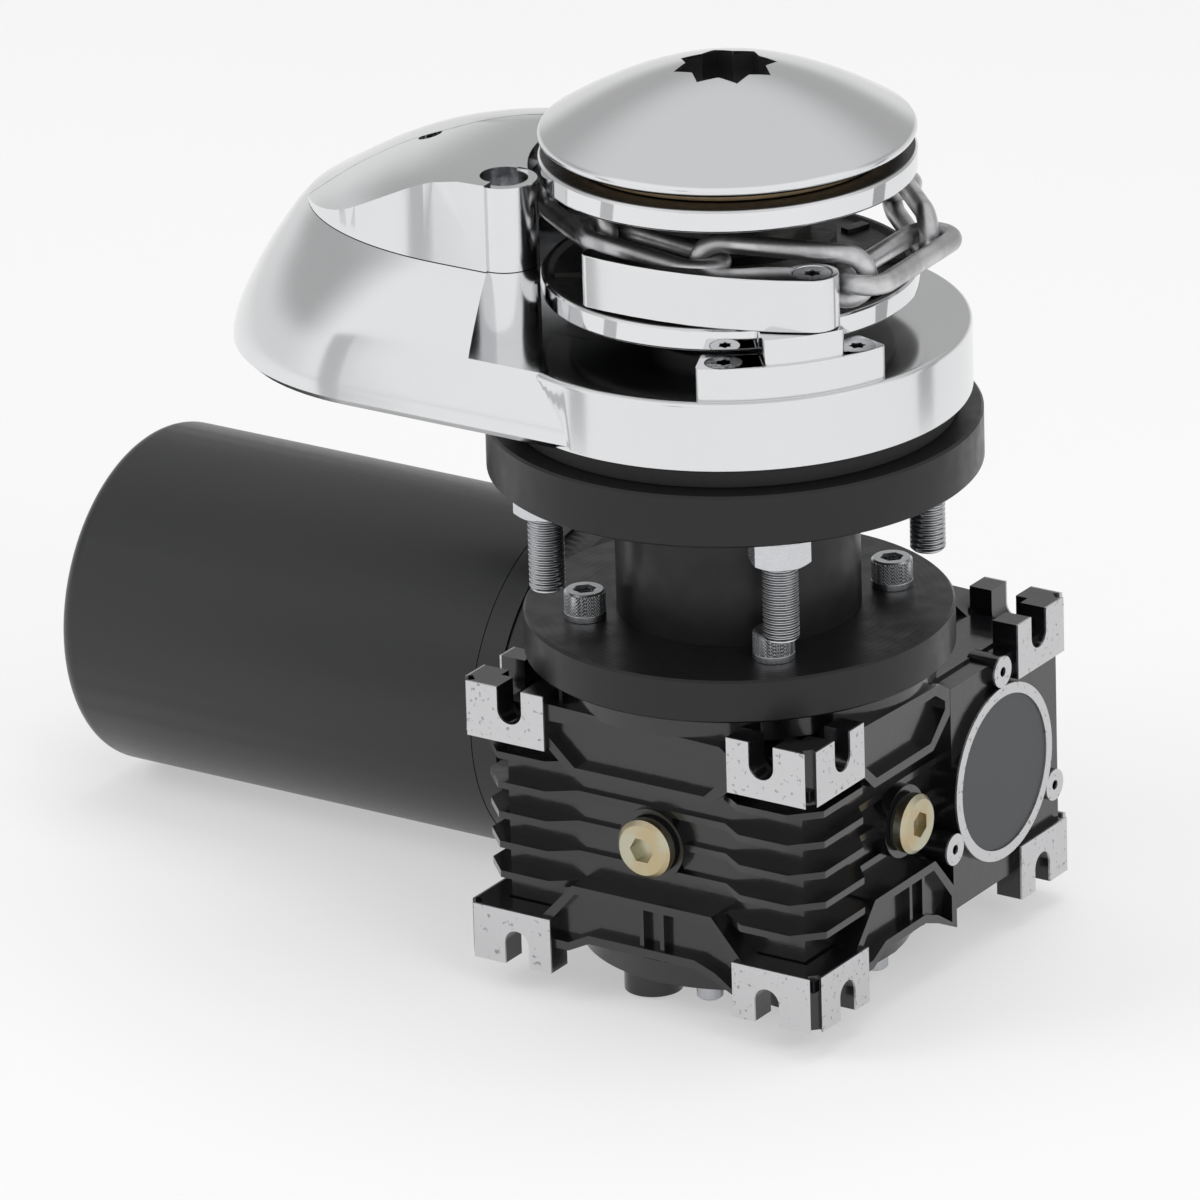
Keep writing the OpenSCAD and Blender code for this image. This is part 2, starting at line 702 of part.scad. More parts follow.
module terminals() {
    for (a = terminal_angles) motor_axis() translate([0, 0, can_start + 22]) rotate([0, 90, a])
        translate([0, 0, motor_r - can_t - 4]) {
            color("#151515") ring(5.9, 3, can_t + 4);
            color("#151515") translate([0, 0, can_t + 4]) ring(8, 3, 2.4);
            color("#b7a070") translate([0, 0, -6]) cylinder(r = 3 - tiny, h = 24);
            color("#b7a070") translate([0, 0, can_t + 6.5]) difference() {
                hex_prism(10, 4);
                translate([0, 0, -1]) cylinder(r = 2.9, h = 6);
            }
        }
}

armature_z = can_start + 46;
motor_shaft_r = 6;
motor_bearing_r = 17;

module magnets() {
    color("#3c3c3f") motor_axis() translate([0, 0, armature_z - 4]) for (a = [0, 180]) rotate([0, 0, a])
        difference() {
            ring(motor_r - can_t - 0.3, armature_r + 1.5, armature_len + 8);
            translate([-100, -100, -1]) cube([200, 100 + 18, armature_len + 10]);
        }
}

module armature() {
    slots = 16;
    color("#9a5a35") motor_axis() translate([0, 0, armature_z]) {
        difference() {
            cylinder(r = armature_r, h = armature_len);
            for (i = [0:slots - 1]) rotate([0, 0, i * 360 / slots])
                translate([armature_r - 8, -1.5, -1]) cube([10, 3, armature_len + 2]);
        }
        translate([0, 0, -12]) cylinder(r = armature_r - 6, h = armature_len + 24);
        translate([0, 0, 62 - armature_z]) cylinder(r = motor_shaft_r, h = motor_end - 62 - can_t - 3);
    }
}

module commutator() {
    bars = 16;
    color("#b87333") motor_axis() translate([0, 0, can_start + 14]) difference() {
        cylinder(r = 20, h = 19);
        translate([0, 0, -1]) cylinder(r = motor_shaft_r, h = 22);
        for (i = [0:bars - 1]) rotate([0, 0, i * 360 / bars])
            translate([17, -0.5, -1]) cube([6, 1, 22]);
    }
}

brush_r = 20.1;

module brushes() {
    color("#4a4a4d") motor_axis() translate([0, 0, can_start + 18]) for (a = [45:90:315])
        rotate([0, 0, a]) difference() {
            translate([brush_r - 2, -5, 0]) cube([16, 10, 12]);
            translate([0, 0, -1]) cylinder(r = brush_r, h = 14);
        }
}

module brush_plate() {
    color("#6b4a2b") motor_axis() translate([0, 0, can_start + 8]) {
        ring(motor_r - can_t - 0.3, 24, 4);
        for (a = [45:90:315]) rotate([0, 0, a]) difference() {
            translate([24, -7, 4 - tiny]) cube([14, 14, 20]);
            translate([20, -5.2, 9.8]) cube([15, 10.4, 12.4]);
        }
    }
}

module motor_bearings() {
    color("#a9abae") motor_axis() {
        translate([0, 0, can_start - 8]) bearing(motor_bearing_r, motor_shaft_r + running_fit, 10);
        translate([0, 0, motor_end - can_t - 10]) bearing(motor_bearing_r, motor_shaft_r + running_fit, 9.5);
    }
}

// Spool between the gearbox and the deck
module spool() {
    color("#29292c") difference() {
        union() {
            translate([0, 0, foot_z]) edged_disc(foot_r, foot_t, 0.8);
            translate([0, 0, foot_z]) cylinder(r = tube_r, h = clamp_top - foot_z);
            translate([0, 0, clamp_z]) edged_disc(clamp_r, clamp_t, 0.8);
        }
        translate([0, 0, foot_z - 1]) cylinder(r = spool_bore_r, h = -foot_z - deck_bearing_h + 1);
        translate([0, 0, -deck_bearing_h - 1]) cylinder(r = spool_bore_r - 6, h = 30);
        at_quarters(stud_ring_r) translate([0, 0, clamp_z - 1]) cylinder(d = stud_d + 0.8, h = clamp_t + 2);
        at_quarters(screw_ring_r) translate([0, 0, foot_z - 1]) cylinder(d = 8.6, h = foot_t + 2);
    }
}

// Disc with chamfered edges
module edged_disc(r, h, c) {
    translate([0, 0, c]) cylinder(r = r, h = h - 2 * c);
    cylinder(r1 = r - c, r2 = r, h = c + tiny);
    translate([0, 0, h - c]) cylinder(r1 = r, r2 = r - c, h = c);
}

washer_t = 2.4;

module flange_screws() {
    color("#9b9da0") at_quarters(screw_ring_r) translate([0, 0, foot_top + washer_t])
        socket_screw(7.8, screw_head_d, 7.6, foot_t + washer_t + 14);
}

module flange_washers() {
    color("#b5b7ba") at_quarters(screw_ring_r) translate([0, 0, foot_top])
        ring(screw_head_d / 2 + 0.1, 4, washer_t);
}

stud_in = 14;
stud_end = clamp_z - stud_drop;
nut_h = 10;
stud_washer_t = 2.5;
stud_thread_top = clamp_z - stud_washer_t - nut_h - seat_gap;

module deck_studs() {
    color("#b5b7ba") at_quarters(stud_ring_r) {
        translate([0, 0, stud_end + 1]) cylinder(d = stud_d, h = stud_thread_top - stud_end - 1);
        translate([0, 0, stud_thread_top - tiny])
            cylinder(d = stud_d - 0.4, h = stud_in - stud_thread_top + tiny);
        translate([0, 0, stud_end]) cylinder(d1 = stud_d - 2, d2 = stud_d, h = 1 + tiny);
    }
}

module stud_nuts() {
    color("#d3d5d8") at_quarters(stud_ring_r) translate([0, 0, clamp_z - stud_washer_t - nut_h])
        difference() {
            intersection() {
                hex_prism(19, nut_h);
                union() {
                    cylinder(d1 = 18.4, d2 = 24, h = 1.6);
                    translate([0, 0, 1.6 - tiny]) cylinder(d = 24, h = nut_h);
                }
            }
            translate([0, 0, -1]) cylinder(d = stud_d, h = nut_h + 2);
        }
}

module stud_washers() {
    color("#c5c7ca") at_quarters(stud_ring_r) translate([0, 0, clamp_z - stud_washer_t])
        ring(12, stud_d / 2 + 0.2, stud_washer_t);
}

module gasket() {
    color("#101011") translate([0, 0, -gasket_t]) difference() {
        cylinder(r = gasket_r, h = gasket_t);
        translate([0, 0, -1]) cylinder(r = spool_bore_r - 6, h = gasket_t + 2);
        at_quarters(stud_ring_r) translate([0, 0, -1]) cylinder(d = stud_d + 0.8, h = gasket_t + 2);
    }
}

// Base with the chain pod
pod_end = -40;
drum_gap_r = 66;
seam_r = 60.5;
seam_x = -74;
seam_half = 60.6;
seam_long = 84.6;

// Plan of the zone that the lid covers: an arc about the post, then a line to the nose
module lid_zone(gap) {
    arc = [for (a = [92:4:140]) post + (seam_r + gap) * [cos(a), sin(a)]];
    polygon(concat(
        [[pod_end + 30, -110], [-200, -110], [-200, -46 + gap], [-147, -30 + gap], [-126, -22 + gap]],
        [for (i = [len(arc) - 1:-1:0]) arc[i]],
        [[pod_end + 30, post[1] + seam_r + gap]]
    ));
}

// Upright wall that bounds the lid in front, in line with the joint
module seam_wall() {
    translate([seam_x, 0, seam_z - 1]) scale([seam_long / seam_half, 1, 1]) cylinder(r = seam_half, h = 60);
    translate([seam_x, -seam_half + 0.2, seam_z - 1]) cube([pod_end - seam_x + 10, 2 * seam_half - 0.4, 60]);
}

module pod_body() {
    intersection() {
        union() {
            leaned(1, 0.18, -107) turned(body_profile);
            translate([-98, 0, 0]) rotate([90, 0, 90]) linear_extrude(80) polygon(concat(
                [for (p = body_profile) [p[0] - 0.3, p[1]]],
                [for (i = [len(body_profile) - 1:-1:0]) [0.3 - body_profile[i][0], body_profile[i][1]]]
            ));
        }
        union() {
            leaned(1.36, 0.085, -80) turned([[85.4, -1], [60.9, 50.3]]);
            translate([-76, -90, -2]) cube([60, 180, 60]);
        }
    }
}

function dome_nose(i) = dome_x + dome_shift * dome_z[i] - dome_scale * dome_r[i];

module pod_dome() {
    intersection() {
        leaned(dome_scale, dome_shift, dome_x)
            turned([for (i = [0:len(dome_z) - 1]) [dome_r[i], dome_z[i]]]);
        translate([-200, 0, 40]) cube([200 + pod_end, 90, 60]);
    }
    for (i = [0:len(dome_z) - 2]) {
        h = dome_z[i + 1] - dome_z[i];
        c = dome_nose(i) + nose_r;
        next = dome_nose(i + 1) + nose_r;
        intersection() {
            union() {
                translate([c, 0, dome_z[i]]) leaned(1, (next - c) / h, 0) cylinder(r = nose_r, h = h);
                translate([min(next, pod_end - 1), -nose_r, dome_z[i]]) cube([80, nose_r, h]);
            }
            translate([-200, -90, 40]) cube([200 + pod_end, 90, 60]);
            seam_wall();
        }
    }
}

module pod_inside() {
    translate([-70, 0, 0]) scale([1.42, 1, 1]) turned(hollow_profile);
}

module chain_pipe() {
    half = (pipe_len - pipe_w) / 2;
    translate([-104, 0, -1]) {
        for (s = [-1, 1]) translate([s * half, 0, 0]) cylinder(d = pipe_w, h = 60);
        translate([-half, -pipe_w / 2, 0]) cube([2 * half, pipe_w, 60]);
    }
}

// Space beside the drum, past the ends of the pod's walls
module past_post() {
    translate([post[0], -90, plate_t]) cube([80, 50, 80]);
    translate([pod_end, 40, plate_t]) cube([80, 50, 80]);
}

module drum_space(r) {
    translate([0, 0, plate_t]) cylinder(r = r, h = 100);
}

bush_r = 19;
lid_pin_r = 5;

module base() {
    color("#dfe1e4") difference() {
        union() {
            edged_disc(plate_r, plate_t, 1.5);
            difference() {
                union() {
                    pod_body();
                    pod_dome();
                }
                translate([0, 0, seam_z]) linear_extrude(60) lid_zone(lid_gap);
                drum_space(drum_gap_r);
                past_post();
                pod_inside();
            }
            translate([post[0], post[1], plate_t - 4]) cylinder(r = post_r, h = seam_z - plate_t + 4);
        }
        chain_pipe();
        translate([0, 0, -1]) cylinder(r = bush_r, h = plate_t + 2);
        at_quarters(stud_ring_r) translate([0, 0, -1]) cylinder(d = stud_d, h = stud_in + 1 + tiny);
        translate([post[0], post[1], seam_z - 16]) cylinder(r = lid_pin_r, h = 30);
        for (a = bracket_screw_angles) rotate([0, 0, a]) translate([bracket_screw_r, 0, plate_t - 12])
            cylinder(d = 5.8, h = 20);
        translate([arm_pivot[0], arm_pivot[1], plate_t - 8]) cylinder(r = arm_pin_r, h = 20);
    }
}

module base_bush() {
    color("#a8793c") {
        ring(bush_r, shaft_r + running_fit, plate_t - 1.4);
        translate([0, 0, plate_t - 1.4 - tiny]) ring(bush_r, shaft_r + running_fit, 1.4);
    }
}

module pod_lid() {
    color("#e4e6e9") difference() {
        union() {
            difference() {
                intersection() {
                    pod_dome();
                    translate([0, 0, seam_z + lid_gap]) linear_extrude(60) lid_zone(0);
                }
                pod_inside();
                drum_space(drum_gap_r);
                past_post();
            }
            translate([post[0], post[1], seam_z + lid_gap])
                cylinder(r = post_r, h = pod_top - seam_z - lid_gap - 0.3);
        }
        translate([post[0], post[1], seam_z - 1]) cylinder(r = lid_pin_r + running_fit, h = 60);
        translate([post[0], post[1], seam_z + 14]) cylinder(r = post_bore_r, h = 60);
        translate([-108, -15, 50]) cylinder(r = 4, h = 40);
    }
}

module lid_pin() {
    color("#8d8f92") translate([post[0], post[1], 0]) {
        translate([0, 0, seam_z - 16]) cylinder(r = lid_pin_r, h = 29.6);
        translate([0, 0, seam_z + 14 + seat_gap]) difference() {
            cylinder(r = post_bore_r - 0.4, h = 5);
            translate([0, 0, 2]) hex_prism(6, 6);
        }
        translate([0, 0, seam_z + 13]) cylinder(r = lid_pin_r, h = 2);
    }
}

// Bracket of the pressure arm
bracket_in_r = 63;
bracket_out_r = 77;
bracket_screw_r = 70.6;
bracket_screw_angles = [-59.6, -22];
bracket_foot_h = 11;

module ring_sector(r0, r1, a0, a1, h) {
    rotate([0, 0, a0]) rotate_extrude(angle = a1 - a0) translate([r0, 0]) square([r1 - r0, h]);
}

module bracket() {
    color("#d9dbde") difference() {
        union() {
            translate([0, 0, plate_t]) ring_sector(bracket_in_r, bracket_out_r, -66.5, -16.4, bracket_foot_h);
            translate([0, 0, plate_t + 2])
                ring_sector(bracket_in_r + 0.2, bracket_out_r - 1.2, -49.6, -28, arm_z - plate_t - seat_gap - 2);
        }
        for (a = bracket_screw_angles) rotate([0, 0, a]) translate([bracket_screw_r, 0, plate_t]) {
            translate([0, 0, -1]) cylinder(d = 6, h = 20);
            translate([0, 0, bracket_foot_h - 3.2]) cylinder(d1 = 6, d2 = 12.6, h = 3.2 + tiny);
        }
        translate([arm_pivot[0], arm_pivot[1], plate_t - 1]) cylinder(r = arm_pin_r, h = 40);
    }
}

module bracket_screws() {
    color("#b5b7ba") for (a = bracket_screw_angles) rotate([0, 0, a])
        translate([bracket_screw_r, 0, plate_t + bracket_foot_h]) difference() {
            union() {
                translate([0, 0, -3.2]) cylinder(d1 = 5.8, d2 = 12.2, h = 3.2);
                translate([0, 0, -22]) cylinder(d = 5.8, h = 19);
            }
            translate([0, 0, -1.6]) star(3, 2.1, 6, 4);
        }
}

// Star-shaped recess with a number of points
module star(outer, inner, points, h) {
    linear_extrude(h) polygon([for (i = [0:2 * points - 1])
        (i % 2 == 0 ? outer : inner) * [cos(i * 180 / points), sin(i * 180 / points)]]);
}

arm_outer_r = 137;
arm_inner_r = 56.4;
arm_tip = [-20.5, -59.8];

module arm_plan() {
    heel = arm_pivot + arm_end_r * [cos(-60), sin(-60)];
    mid = (heel + arm_tip) / 2;
    half = norm(heel - arm_tip) / 2;
    side = (heel - arm_tip) / (2 * half);
    centre = mid + sqrt(arm_outer_r * arm_outer_r - half * half) * [-side[1], side[0]];
    a0 = atan2(arm_tip[1] - centre[1], arm_tip[0] - centre[0]);
    a1 = atan2(heel[1] - centre[1], heel[0] - centre[0]);
    toe = atan2(arm_tip[1] + 12, arm_tip[0] + 1);
    inner_end = atan2(arm_pivot[1], arm_pivot[0]) - 12;
    polygon(concat(
        [for (i = [0:8]) centre + arm_outer_r * [cos(a0 + (a1 - a0) * i / 8), sin(a0 + (a1 - a0) * i / 8)]],
        [arm_pivot, arm_pivot + arm_end_r * [cos(150), sin(150)] * 0.8],
        [for (i = [8:-1:0]) let (a = toe + (inner_end - toe) * i / 8) arm_inner_r * [cos(a), sin(a)]]
    ));
}

module pressure_arm() {
    color("#d9dbde") translate([0, 0, arm_z]) difference() {
        union() {
            linear_extrude(arm_h) arm_plan();
            translate([arm_pivot[0], arm_pivot[1], 0]) cylinder(r = arm_end_r, h = arm_h);
        }
        translate([arm_pivot[0], arm_pivot[1], -1]) cylinder(r = arm_pin_r + running_fit, h = arm_h + 2);
        translate([arm_pivot[0], arm_pivot[1], arm_h - 3.4]) cylinder(r = 6.6, h = 10);
        translate([arm_pivot[0], arm_pivot[1], -1]) cylinder(r = 6.2, h = 8.5);
    }
}

module arm_pin() {
    color("#9fa1a4") translate([arm_pivot[0], arm_pivot[1], 0]) difference() {
        union() {
            translate([0, 0, plate_t - 8]) cylinder(r = arm_pin_r, h = arm_z + arm_h - plate_t + 5);
            translate([0, 0, arm_z + arm_h - 3.1]) cylinder(r = 6.3, h = 2.8);
        }
        translate([0, 0, arm_z + arm_h - 1.8]) star(3.2, 2.2, 6, 4);
    }
}

module arm_spring() {
    color("#8d8f92") translate([arm_pivot[0], arm_pivot[1], arm_z - seat_gap])
        rotate_extrude() for (i = [0:3]) translate([4.9, 0.8 + i * 1.58]) circle(r = 0.8, $fn = 24);
}

// Clutch and chain wheel
module lower_cone() {
    top = wheel_z - cone_play;
    color("#b08d57") difference() {
        union() {
            translate([0, 0, top - cone_rim_t]) cylinder(r = cone_rim_r, h = cone_rim_t);
            translate([0, 0, top - tiny]) cylinder(r1 = cone_r, r2 = cone_r - cone_h, h = cone_h);
            translate([0, 0, plate_t + 2.4 + seat_gap]) cylinder(r = 30, h = top - plate_t - 3);
        }
        translate([0, 0, plate_t]) cylinder(r = shaft_r + running_fit, h = 60);
        translate([shaft_r - 3, -3.1, plate_t]) cube([7, 6.2, 60]);
    }
}

// One flange of the chain wheel, with the cone's seat below and ribs on its inner face
module wheel_flange() {
    hub_r = shaft_r + 6;
    seat_h = cone_h + 0.6;
    dish = 1.6;
    rotate_extrude() polygon([
        [hub_r, seat_h], [cone_r + 0.1 - seat_h, seat_h], [cone_r + 0.1, 0], [rim_r - 1, 0], [rim_r, 1],
        [rim_r, rim_t - 1], [rim_r - 1, rim_t], [rim_r - 2.4, rim_t], [rim_r - 4, rim_t - dish],
        [cone_r + 3, rim_t - dish], [core_r + 2, rim_t + 0.6], [core_r + 0.4, rim_t + 1], [hub_r, rim_t + 1]
    ]);
    for (i = [0:rim_ribs - 1]) rotate([0, 0, i * 360 / rim_ribs])
        translate([cone_r + 3.2, -2, rim_t - dish - 1]) cube([rim_r - cone_r - 7.4, 4, dish + 0.9]);
}

// Chain wheel: two flanges on a grooved core
module chain_wheel() {
    core_z = wheel_z + rim_t + 1.1;
    color("#c9cbce") {
        translate([0, 0, wheel_z]) wheel_flange();
        translate([0, 0, wheel_top]) mirror([0, 0, 1]) wheel_flange();
    }
    color("#6d6f72") rotate_extrude() polygon([
        [shaft_r + 6.4, core_z], [core_r, core_z], [core_r, wheel_mid - groove_h / 2],
        [groove_r, wheel_mid - groove_h / 2], [groove_r, wheel_mid + groove_h / 2],
        [core_r, wheel_mid + groove_h / 2], [core_r, 2 * wheel_mid - core_z],
        [shaft_r + 6.4, 2 * wheel_mid - core_z]
    ]);
}

module upper_cone() {
    color("#b08d57") difference() {
        union() {
            translate([0, 0, wheel_top + cone_play]) cylinder(r = cone_rim_r, h = cone_rim_t);
            translate([0, 0, wheel_top + cone_play - cone_h + tiny])
                cylinder(r1 = cone_r - cone_h, r2 = cone_r, h = cone_h);
        }
        translate([0, 0, wheel_z]) cylinder(r = shaft_r + running_fit, h = 100);
        translate([shaft_r - 3, -3.1, wheel_z]) cube([7, 6.2, 100]);
    }
}

module cone_key() {
    color("#7d7f82") translate([shaft_r - 3 + seat_gap / 2, -2.95, wheel_z - 1.9])
        cube([6, 5.9, cone_top - wheel_z + 1.2]);
}

module dome_cap() {
    steps = 14;
    turn = 58;
    r = cap_r - cap_edge + cap_edge * cos(turn);
    z = cap_wide + cap_edge * sin(turn);
    color("#e4e6e9") difference() {
        rotate_extrude($fn = 96) polygon(concat(
            [[0, cap_z]],
            [for (i = [0:5]) let (a = -90 + 15 * i)
                [cap_r - cap_under + cap_under * cos(a), cap_wide + cap_lip * sin(a)]],
            [for (i = [0:3]) let (a = turn * i / 3)
                [cap_r - cap_edge + cap_edge * cos(a), cap_wide + cap_edge * sin(a)]],
            [for (i = [1:steps]) let (u = 1 - i / steps) [r * u, z + (cap_top - z) * (1 - pow(u, 1.75))]]
        ));
        translate([0, 0, cap_z - 1]) cylinder(r = thread_r + running_fit, h = shaft_top - cap_z + 1.6);
        translate([0, 0, cap_z - 1]) cylinder(r = shaft_r + 2, h = 7);
        translate([0, 0, cap_top - star_depth]) for (a = [0, 45]) rotate([0, 0, a])
            translate([-star_w / sqrt(8), -star_w / sqrt(8), 0])
                cube([star_w / sqrt(2), star_w / sqrt(2), 40]);
    }
}

// Chain: each row has the heading, the tilt and the roll of a link about its own length
chain_start = [-71.5, -2.9, wheel_mid];
chain_links = [[-34.2, 0, 90], [-11, 0, 0], [24.2, -4, 90], [92.4, 0, 0], [135, 0, 90], [172.7, 0, 0]];
link_play = 0.5;
link_side = (link_w - wire_d) / 2;
link_run = pitch + wire_d - 2 * link_side;

// A standing link reaches from bar to bar, a flat one holds those bars in its round ends
function link_way(i) = let (h = chain_links[i][0], t = chain_links[i][1])
    (chain_links[i][2] == 90 ? link_run + 2 * link_side : link_run + 2 * link_play)
    * [cos(h) * cos(t), sin(h) * cos(t), sin(t)];
function link_start(i) = i == 0 ? chain_start : link_start(i - 1) + link_way(i - 1);

module link() {
    for (s = [-1, 1]) translate([-link_run / 2, s * link_side, 0]) rotate([0, 90, 0])
        cylinder(d = wire_d, h = link_run, $fn = 32);
    for (s = [-1, 1]) translate([s * link_run / 2, 0, 0]) rotate([0, 0, s * 90 - 180])
        rotate_extrude(angle = 180, $fn = 48) translate([link_side, 0]) circle(d = wire_d, $fn = 32);
}

module chain() {
    color("#a3a6aa") for (i = [0:len(chain_links) - 1])
        translate(link_start(i) + link_way(i) / 2)
            rotate([0, -chain_links[i][1], chain_links[i][0]]) rotate([chain_links[i][2], 0, 0]) link();
}

gear_housing();
output_cover();
cover_bolts();
worm_cap();
oil_plugs();
plug_seals();
worm_wheel();
wheel_key();
worm_shaft();
worm_bearings();
worm_seal();
worm_circlip();
main_bearings();
shaft_seal();
main_shaft();
motor_adapter();
adapter_screws();
motor_ring();
motor_can();
magnets();
armature();
commutator();
brushes();
brush_plate();
motor_bearings();
terminals();
spool();
flange_screws();
flange_washers();
deck_studs();
stud_nuts();
stud_washers();
gasket();
base();
base_bush();
pod_lid();
lid_pin();
bracket();
bracket_screws();
pressure_arm();
arm_pin();
arm_spring();
lower_cone();
chain_wheel();
upper_cone();
cone_key();
dome_cap();
chain();
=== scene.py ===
"""Vertical anchor windlass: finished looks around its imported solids."""

import math

import bmesh
import bpy
from mathutils import Matrix, Vector
from mathutils.bvhtree import BVHTree
from mathutils.interpolate import poly_3d_calc


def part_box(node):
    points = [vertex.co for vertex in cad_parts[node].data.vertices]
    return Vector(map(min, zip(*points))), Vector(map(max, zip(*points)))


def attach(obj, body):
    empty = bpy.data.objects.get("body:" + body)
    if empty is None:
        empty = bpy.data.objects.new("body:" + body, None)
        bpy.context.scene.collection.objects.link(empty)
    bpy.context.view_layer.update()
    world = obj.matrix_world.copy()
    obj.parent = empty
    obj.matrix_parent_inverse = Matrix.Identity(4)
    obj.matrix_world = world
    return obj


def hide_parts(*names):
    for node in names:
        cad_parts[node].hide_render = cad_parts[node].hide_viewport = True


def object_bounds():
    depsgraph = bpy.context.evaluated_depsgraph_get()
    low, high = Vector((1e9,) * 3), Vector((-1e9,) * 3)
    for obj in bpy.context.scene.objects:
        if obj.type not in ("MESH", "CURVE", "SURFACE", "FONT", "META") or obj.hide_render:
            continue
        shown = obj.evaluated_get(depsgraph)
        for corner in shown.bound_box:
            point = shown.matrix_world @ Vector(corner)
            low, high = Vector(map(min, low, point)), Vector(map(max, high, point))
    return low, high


bl_info = {
    "name": "Anchor windlass looks",
    "version": (1, 0, 0),
    "blender": (4, 5, 0),
    "location": "View3D > Sidebar > Windlass",
    "description": "Finishes and fine pieces for a vertical anchor windlass with chain pod and worm gearbox",
    "category": "Object",
}

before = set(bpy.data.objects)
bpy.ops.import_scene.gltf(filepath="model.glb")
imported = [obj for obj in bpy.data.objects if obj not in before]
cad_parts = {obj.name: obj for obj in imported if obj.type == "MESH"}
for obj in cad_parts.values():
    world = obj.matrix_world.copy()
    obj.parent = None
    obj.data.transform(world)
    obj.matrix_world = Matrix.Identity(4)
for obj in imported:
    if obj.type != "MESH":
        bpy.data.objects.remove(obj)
CAD_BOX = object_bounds()
MM = 0.001

# Tolerances in metres, and angles in degrees where nothing else is said
SAME_POINT = 0.00001
SAME_CAD_POINT = 0.000004
SAME_LEVEL = 1e-7
SHADE_ANGLE = 40
CASTING_ANGLE = 42
FLAT_ANGLE = 0.3
SHARP_CORNER = 1.0  # radians between two faces
UPRIGHT = 0.999  # share of an edge's length that is height
CORNER_SEGMENTS = 6
LOFT_REACH = 0.00002
NORMALS_AGREE = 0.8


# Picking and making


def clear():
    if bpy.context.object and bpy.context.object.mode != "OBJECT":
        bpy.ops.object.mode_set(mode="OBJECT")
    bpy.ops.object.select_all(action="DESELECT")


def only(*pieces):
    clear()
    for piece in pieces:
        piece.select_set(True)
    bpy.context.view_layer.objects.active = pieces[-1]


def edit(piece):
    only(piece)
    bpy.ops.object.mode_set(mode="EDIT")
    bpy.ops.mesh.select_mode(type="VERT")


def done():
    bpy.ops.object.mode_set(mode="OBJECT")


def pick(piece, test):
    """Selects the vertices of the piece in edit mode that pass the test."""
    bm = bmesh.from_edit_mesh(piece.data)
    for v in bm.verts:
        v.select = bool(test(v.co))
    bm.select_flush(True)
    bm.select_flush(False)
    bmesh.update_edit_mesh(piece.data)


def settle(piece):
    """Leaves the piece at the origin, unturned and unscaled."""
    only(piece)
    bpy.ops.object.transform_apply(location=True, rotation=True, scale=True)
    return piece


def apply_all(piece):
    only(piece)
    for modifier in list(piece.modifiers):
        bpy.ops.object.modifier_apply(modifier=modifier.name)
    return piece


def add_modifier(piece, kind, **settings):
    modifier = piece.modifiers.new(kind.lower(), kind)
    for key, value in settings.items():
        setattr(modifier, key, value)
    return modifier


def outward(piece):
    edit(piece)
    bpy.ops.mesh.select_all(action="SELECT")
    bpy.ops.mesh.remove_doubles(threshold=SAME_POINT)
    bpy.ops.mesh.normals_make_consistent(inside=False)
    done()
    return piece


def smooth(piece, angle=SHADE_ANGLE):
    only(piece)
    bpy.ops.object.shade_smooth_by_angle(angle=math.radians(angle))
    return piece


def soften(piece, width, segments=2, angle=35):
    """Rounds the sharp edges and shades the rest as one surface."""
    add_modifier(
        piece, "BEVEL", width=width, segments=segments, limit_method="ANGLE",
        angle_limit=math.radians(angle), use_clamp_overlap=True, miter_outer="MITER_ARC",
    )
    apply_all(piece)
    smooth(piece)
    add_modifier(piece, "WEIGHTED_NORMAL", keep_sharp=True, weight=60)
    return apply_all(piece)


def cad_copy(node):
    """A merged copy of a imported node, free to be rounded and shaded."""
    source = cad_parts[node]
    piece = bpy.data.objects.new(node + "_piece", source.data.copy())
    bpy.context.scene.collection.objects.link(piece)
    edit(piece)
    bpy.ops.mesh.select_all(action="SELECT")
    bpy.ops.mesh.remove_doubles(threshold=SAME_CAD_POINT)
    done()
    return piece


def round_corners(piece, width, low, high):
    """Rounds the sharp upright edges whose middle lies between two heights in millimetres."""
    edit(piece)
    bpy.ops.mesh.select_all(action="SELECT")
    bpy.ops.mesh.dissolve_limited(angle_limit=math.radians(FLAT_ANGLE))
    bpy.ops.mesh.select_mode(type="EDGE")
    bpy.ops.mesh.select_all(action="DESELECT")
    bm = bmesh.from_edit_mesh(piece.data)
    for e in bm.edges:
        run = e.verts[1].co - e.verts[0].co
        middle = (e.verts[0].co.z + e.verts[1].co.z) / 2 / MM
        upright = abs(run.z) > UPRIGHT * run.length
        if upright and low < middle < high and len(e.link_faces) == 2:
            e.select = e.is_convex and e.calc_face_angle() > SHARP_CORNER
    bm.select_flush_mode()
    bmesh.update_edit_mesh(piece.data)
    bpy.ops.mesh.bevel(
        offset=width * MM, segments=CORNER_SEGMENTS, affect="EDGES", clamp_overlap=True)
    done()
    return piece


def carry_normals(piece, *surfaces):
    """Gives the faces that lie on clean lofts the lofts' own smooth normals."""
    mesh = piece.data
    normals = [corner.vector.copy() for corner in mesh.corner_normals]
    for surface in surfaces:
        clean = surface.data
        walls = [p for p in clean.polygons if len(p.vertices) == 4]
        tree = BVHTree.FromPolygons([v.co for v in clean.vertices], [p.vertices[:] for p in walls])
        for face in mesh.polygons:
            for corner in face.loop_indices:
                point = mesh.vertices[mesh.loops[corner].vertex_index].co
                place, _, index, _ = tree.find_nearest(point, LOFT_REACH)
                if place is None or walls[index].normal.dot(face.normal) < NORMALS_AGREE:
                    continue
                corners = [clean.vertices[v].co for v in walls[index].vertices]
                shares = poly_3d_calc(corners, place)
                blend = Vector()
                for share, loop in zip(shares, walls[index].loop_indices):
                    blend += clean.corner_normals[loop].vector * share
                normals[corner] = blend.normalized()
    mesh.normals_split_custom_set(normals)
    for surface in surfaces:
        bpy.data.objects.remove(surface)
    return piece


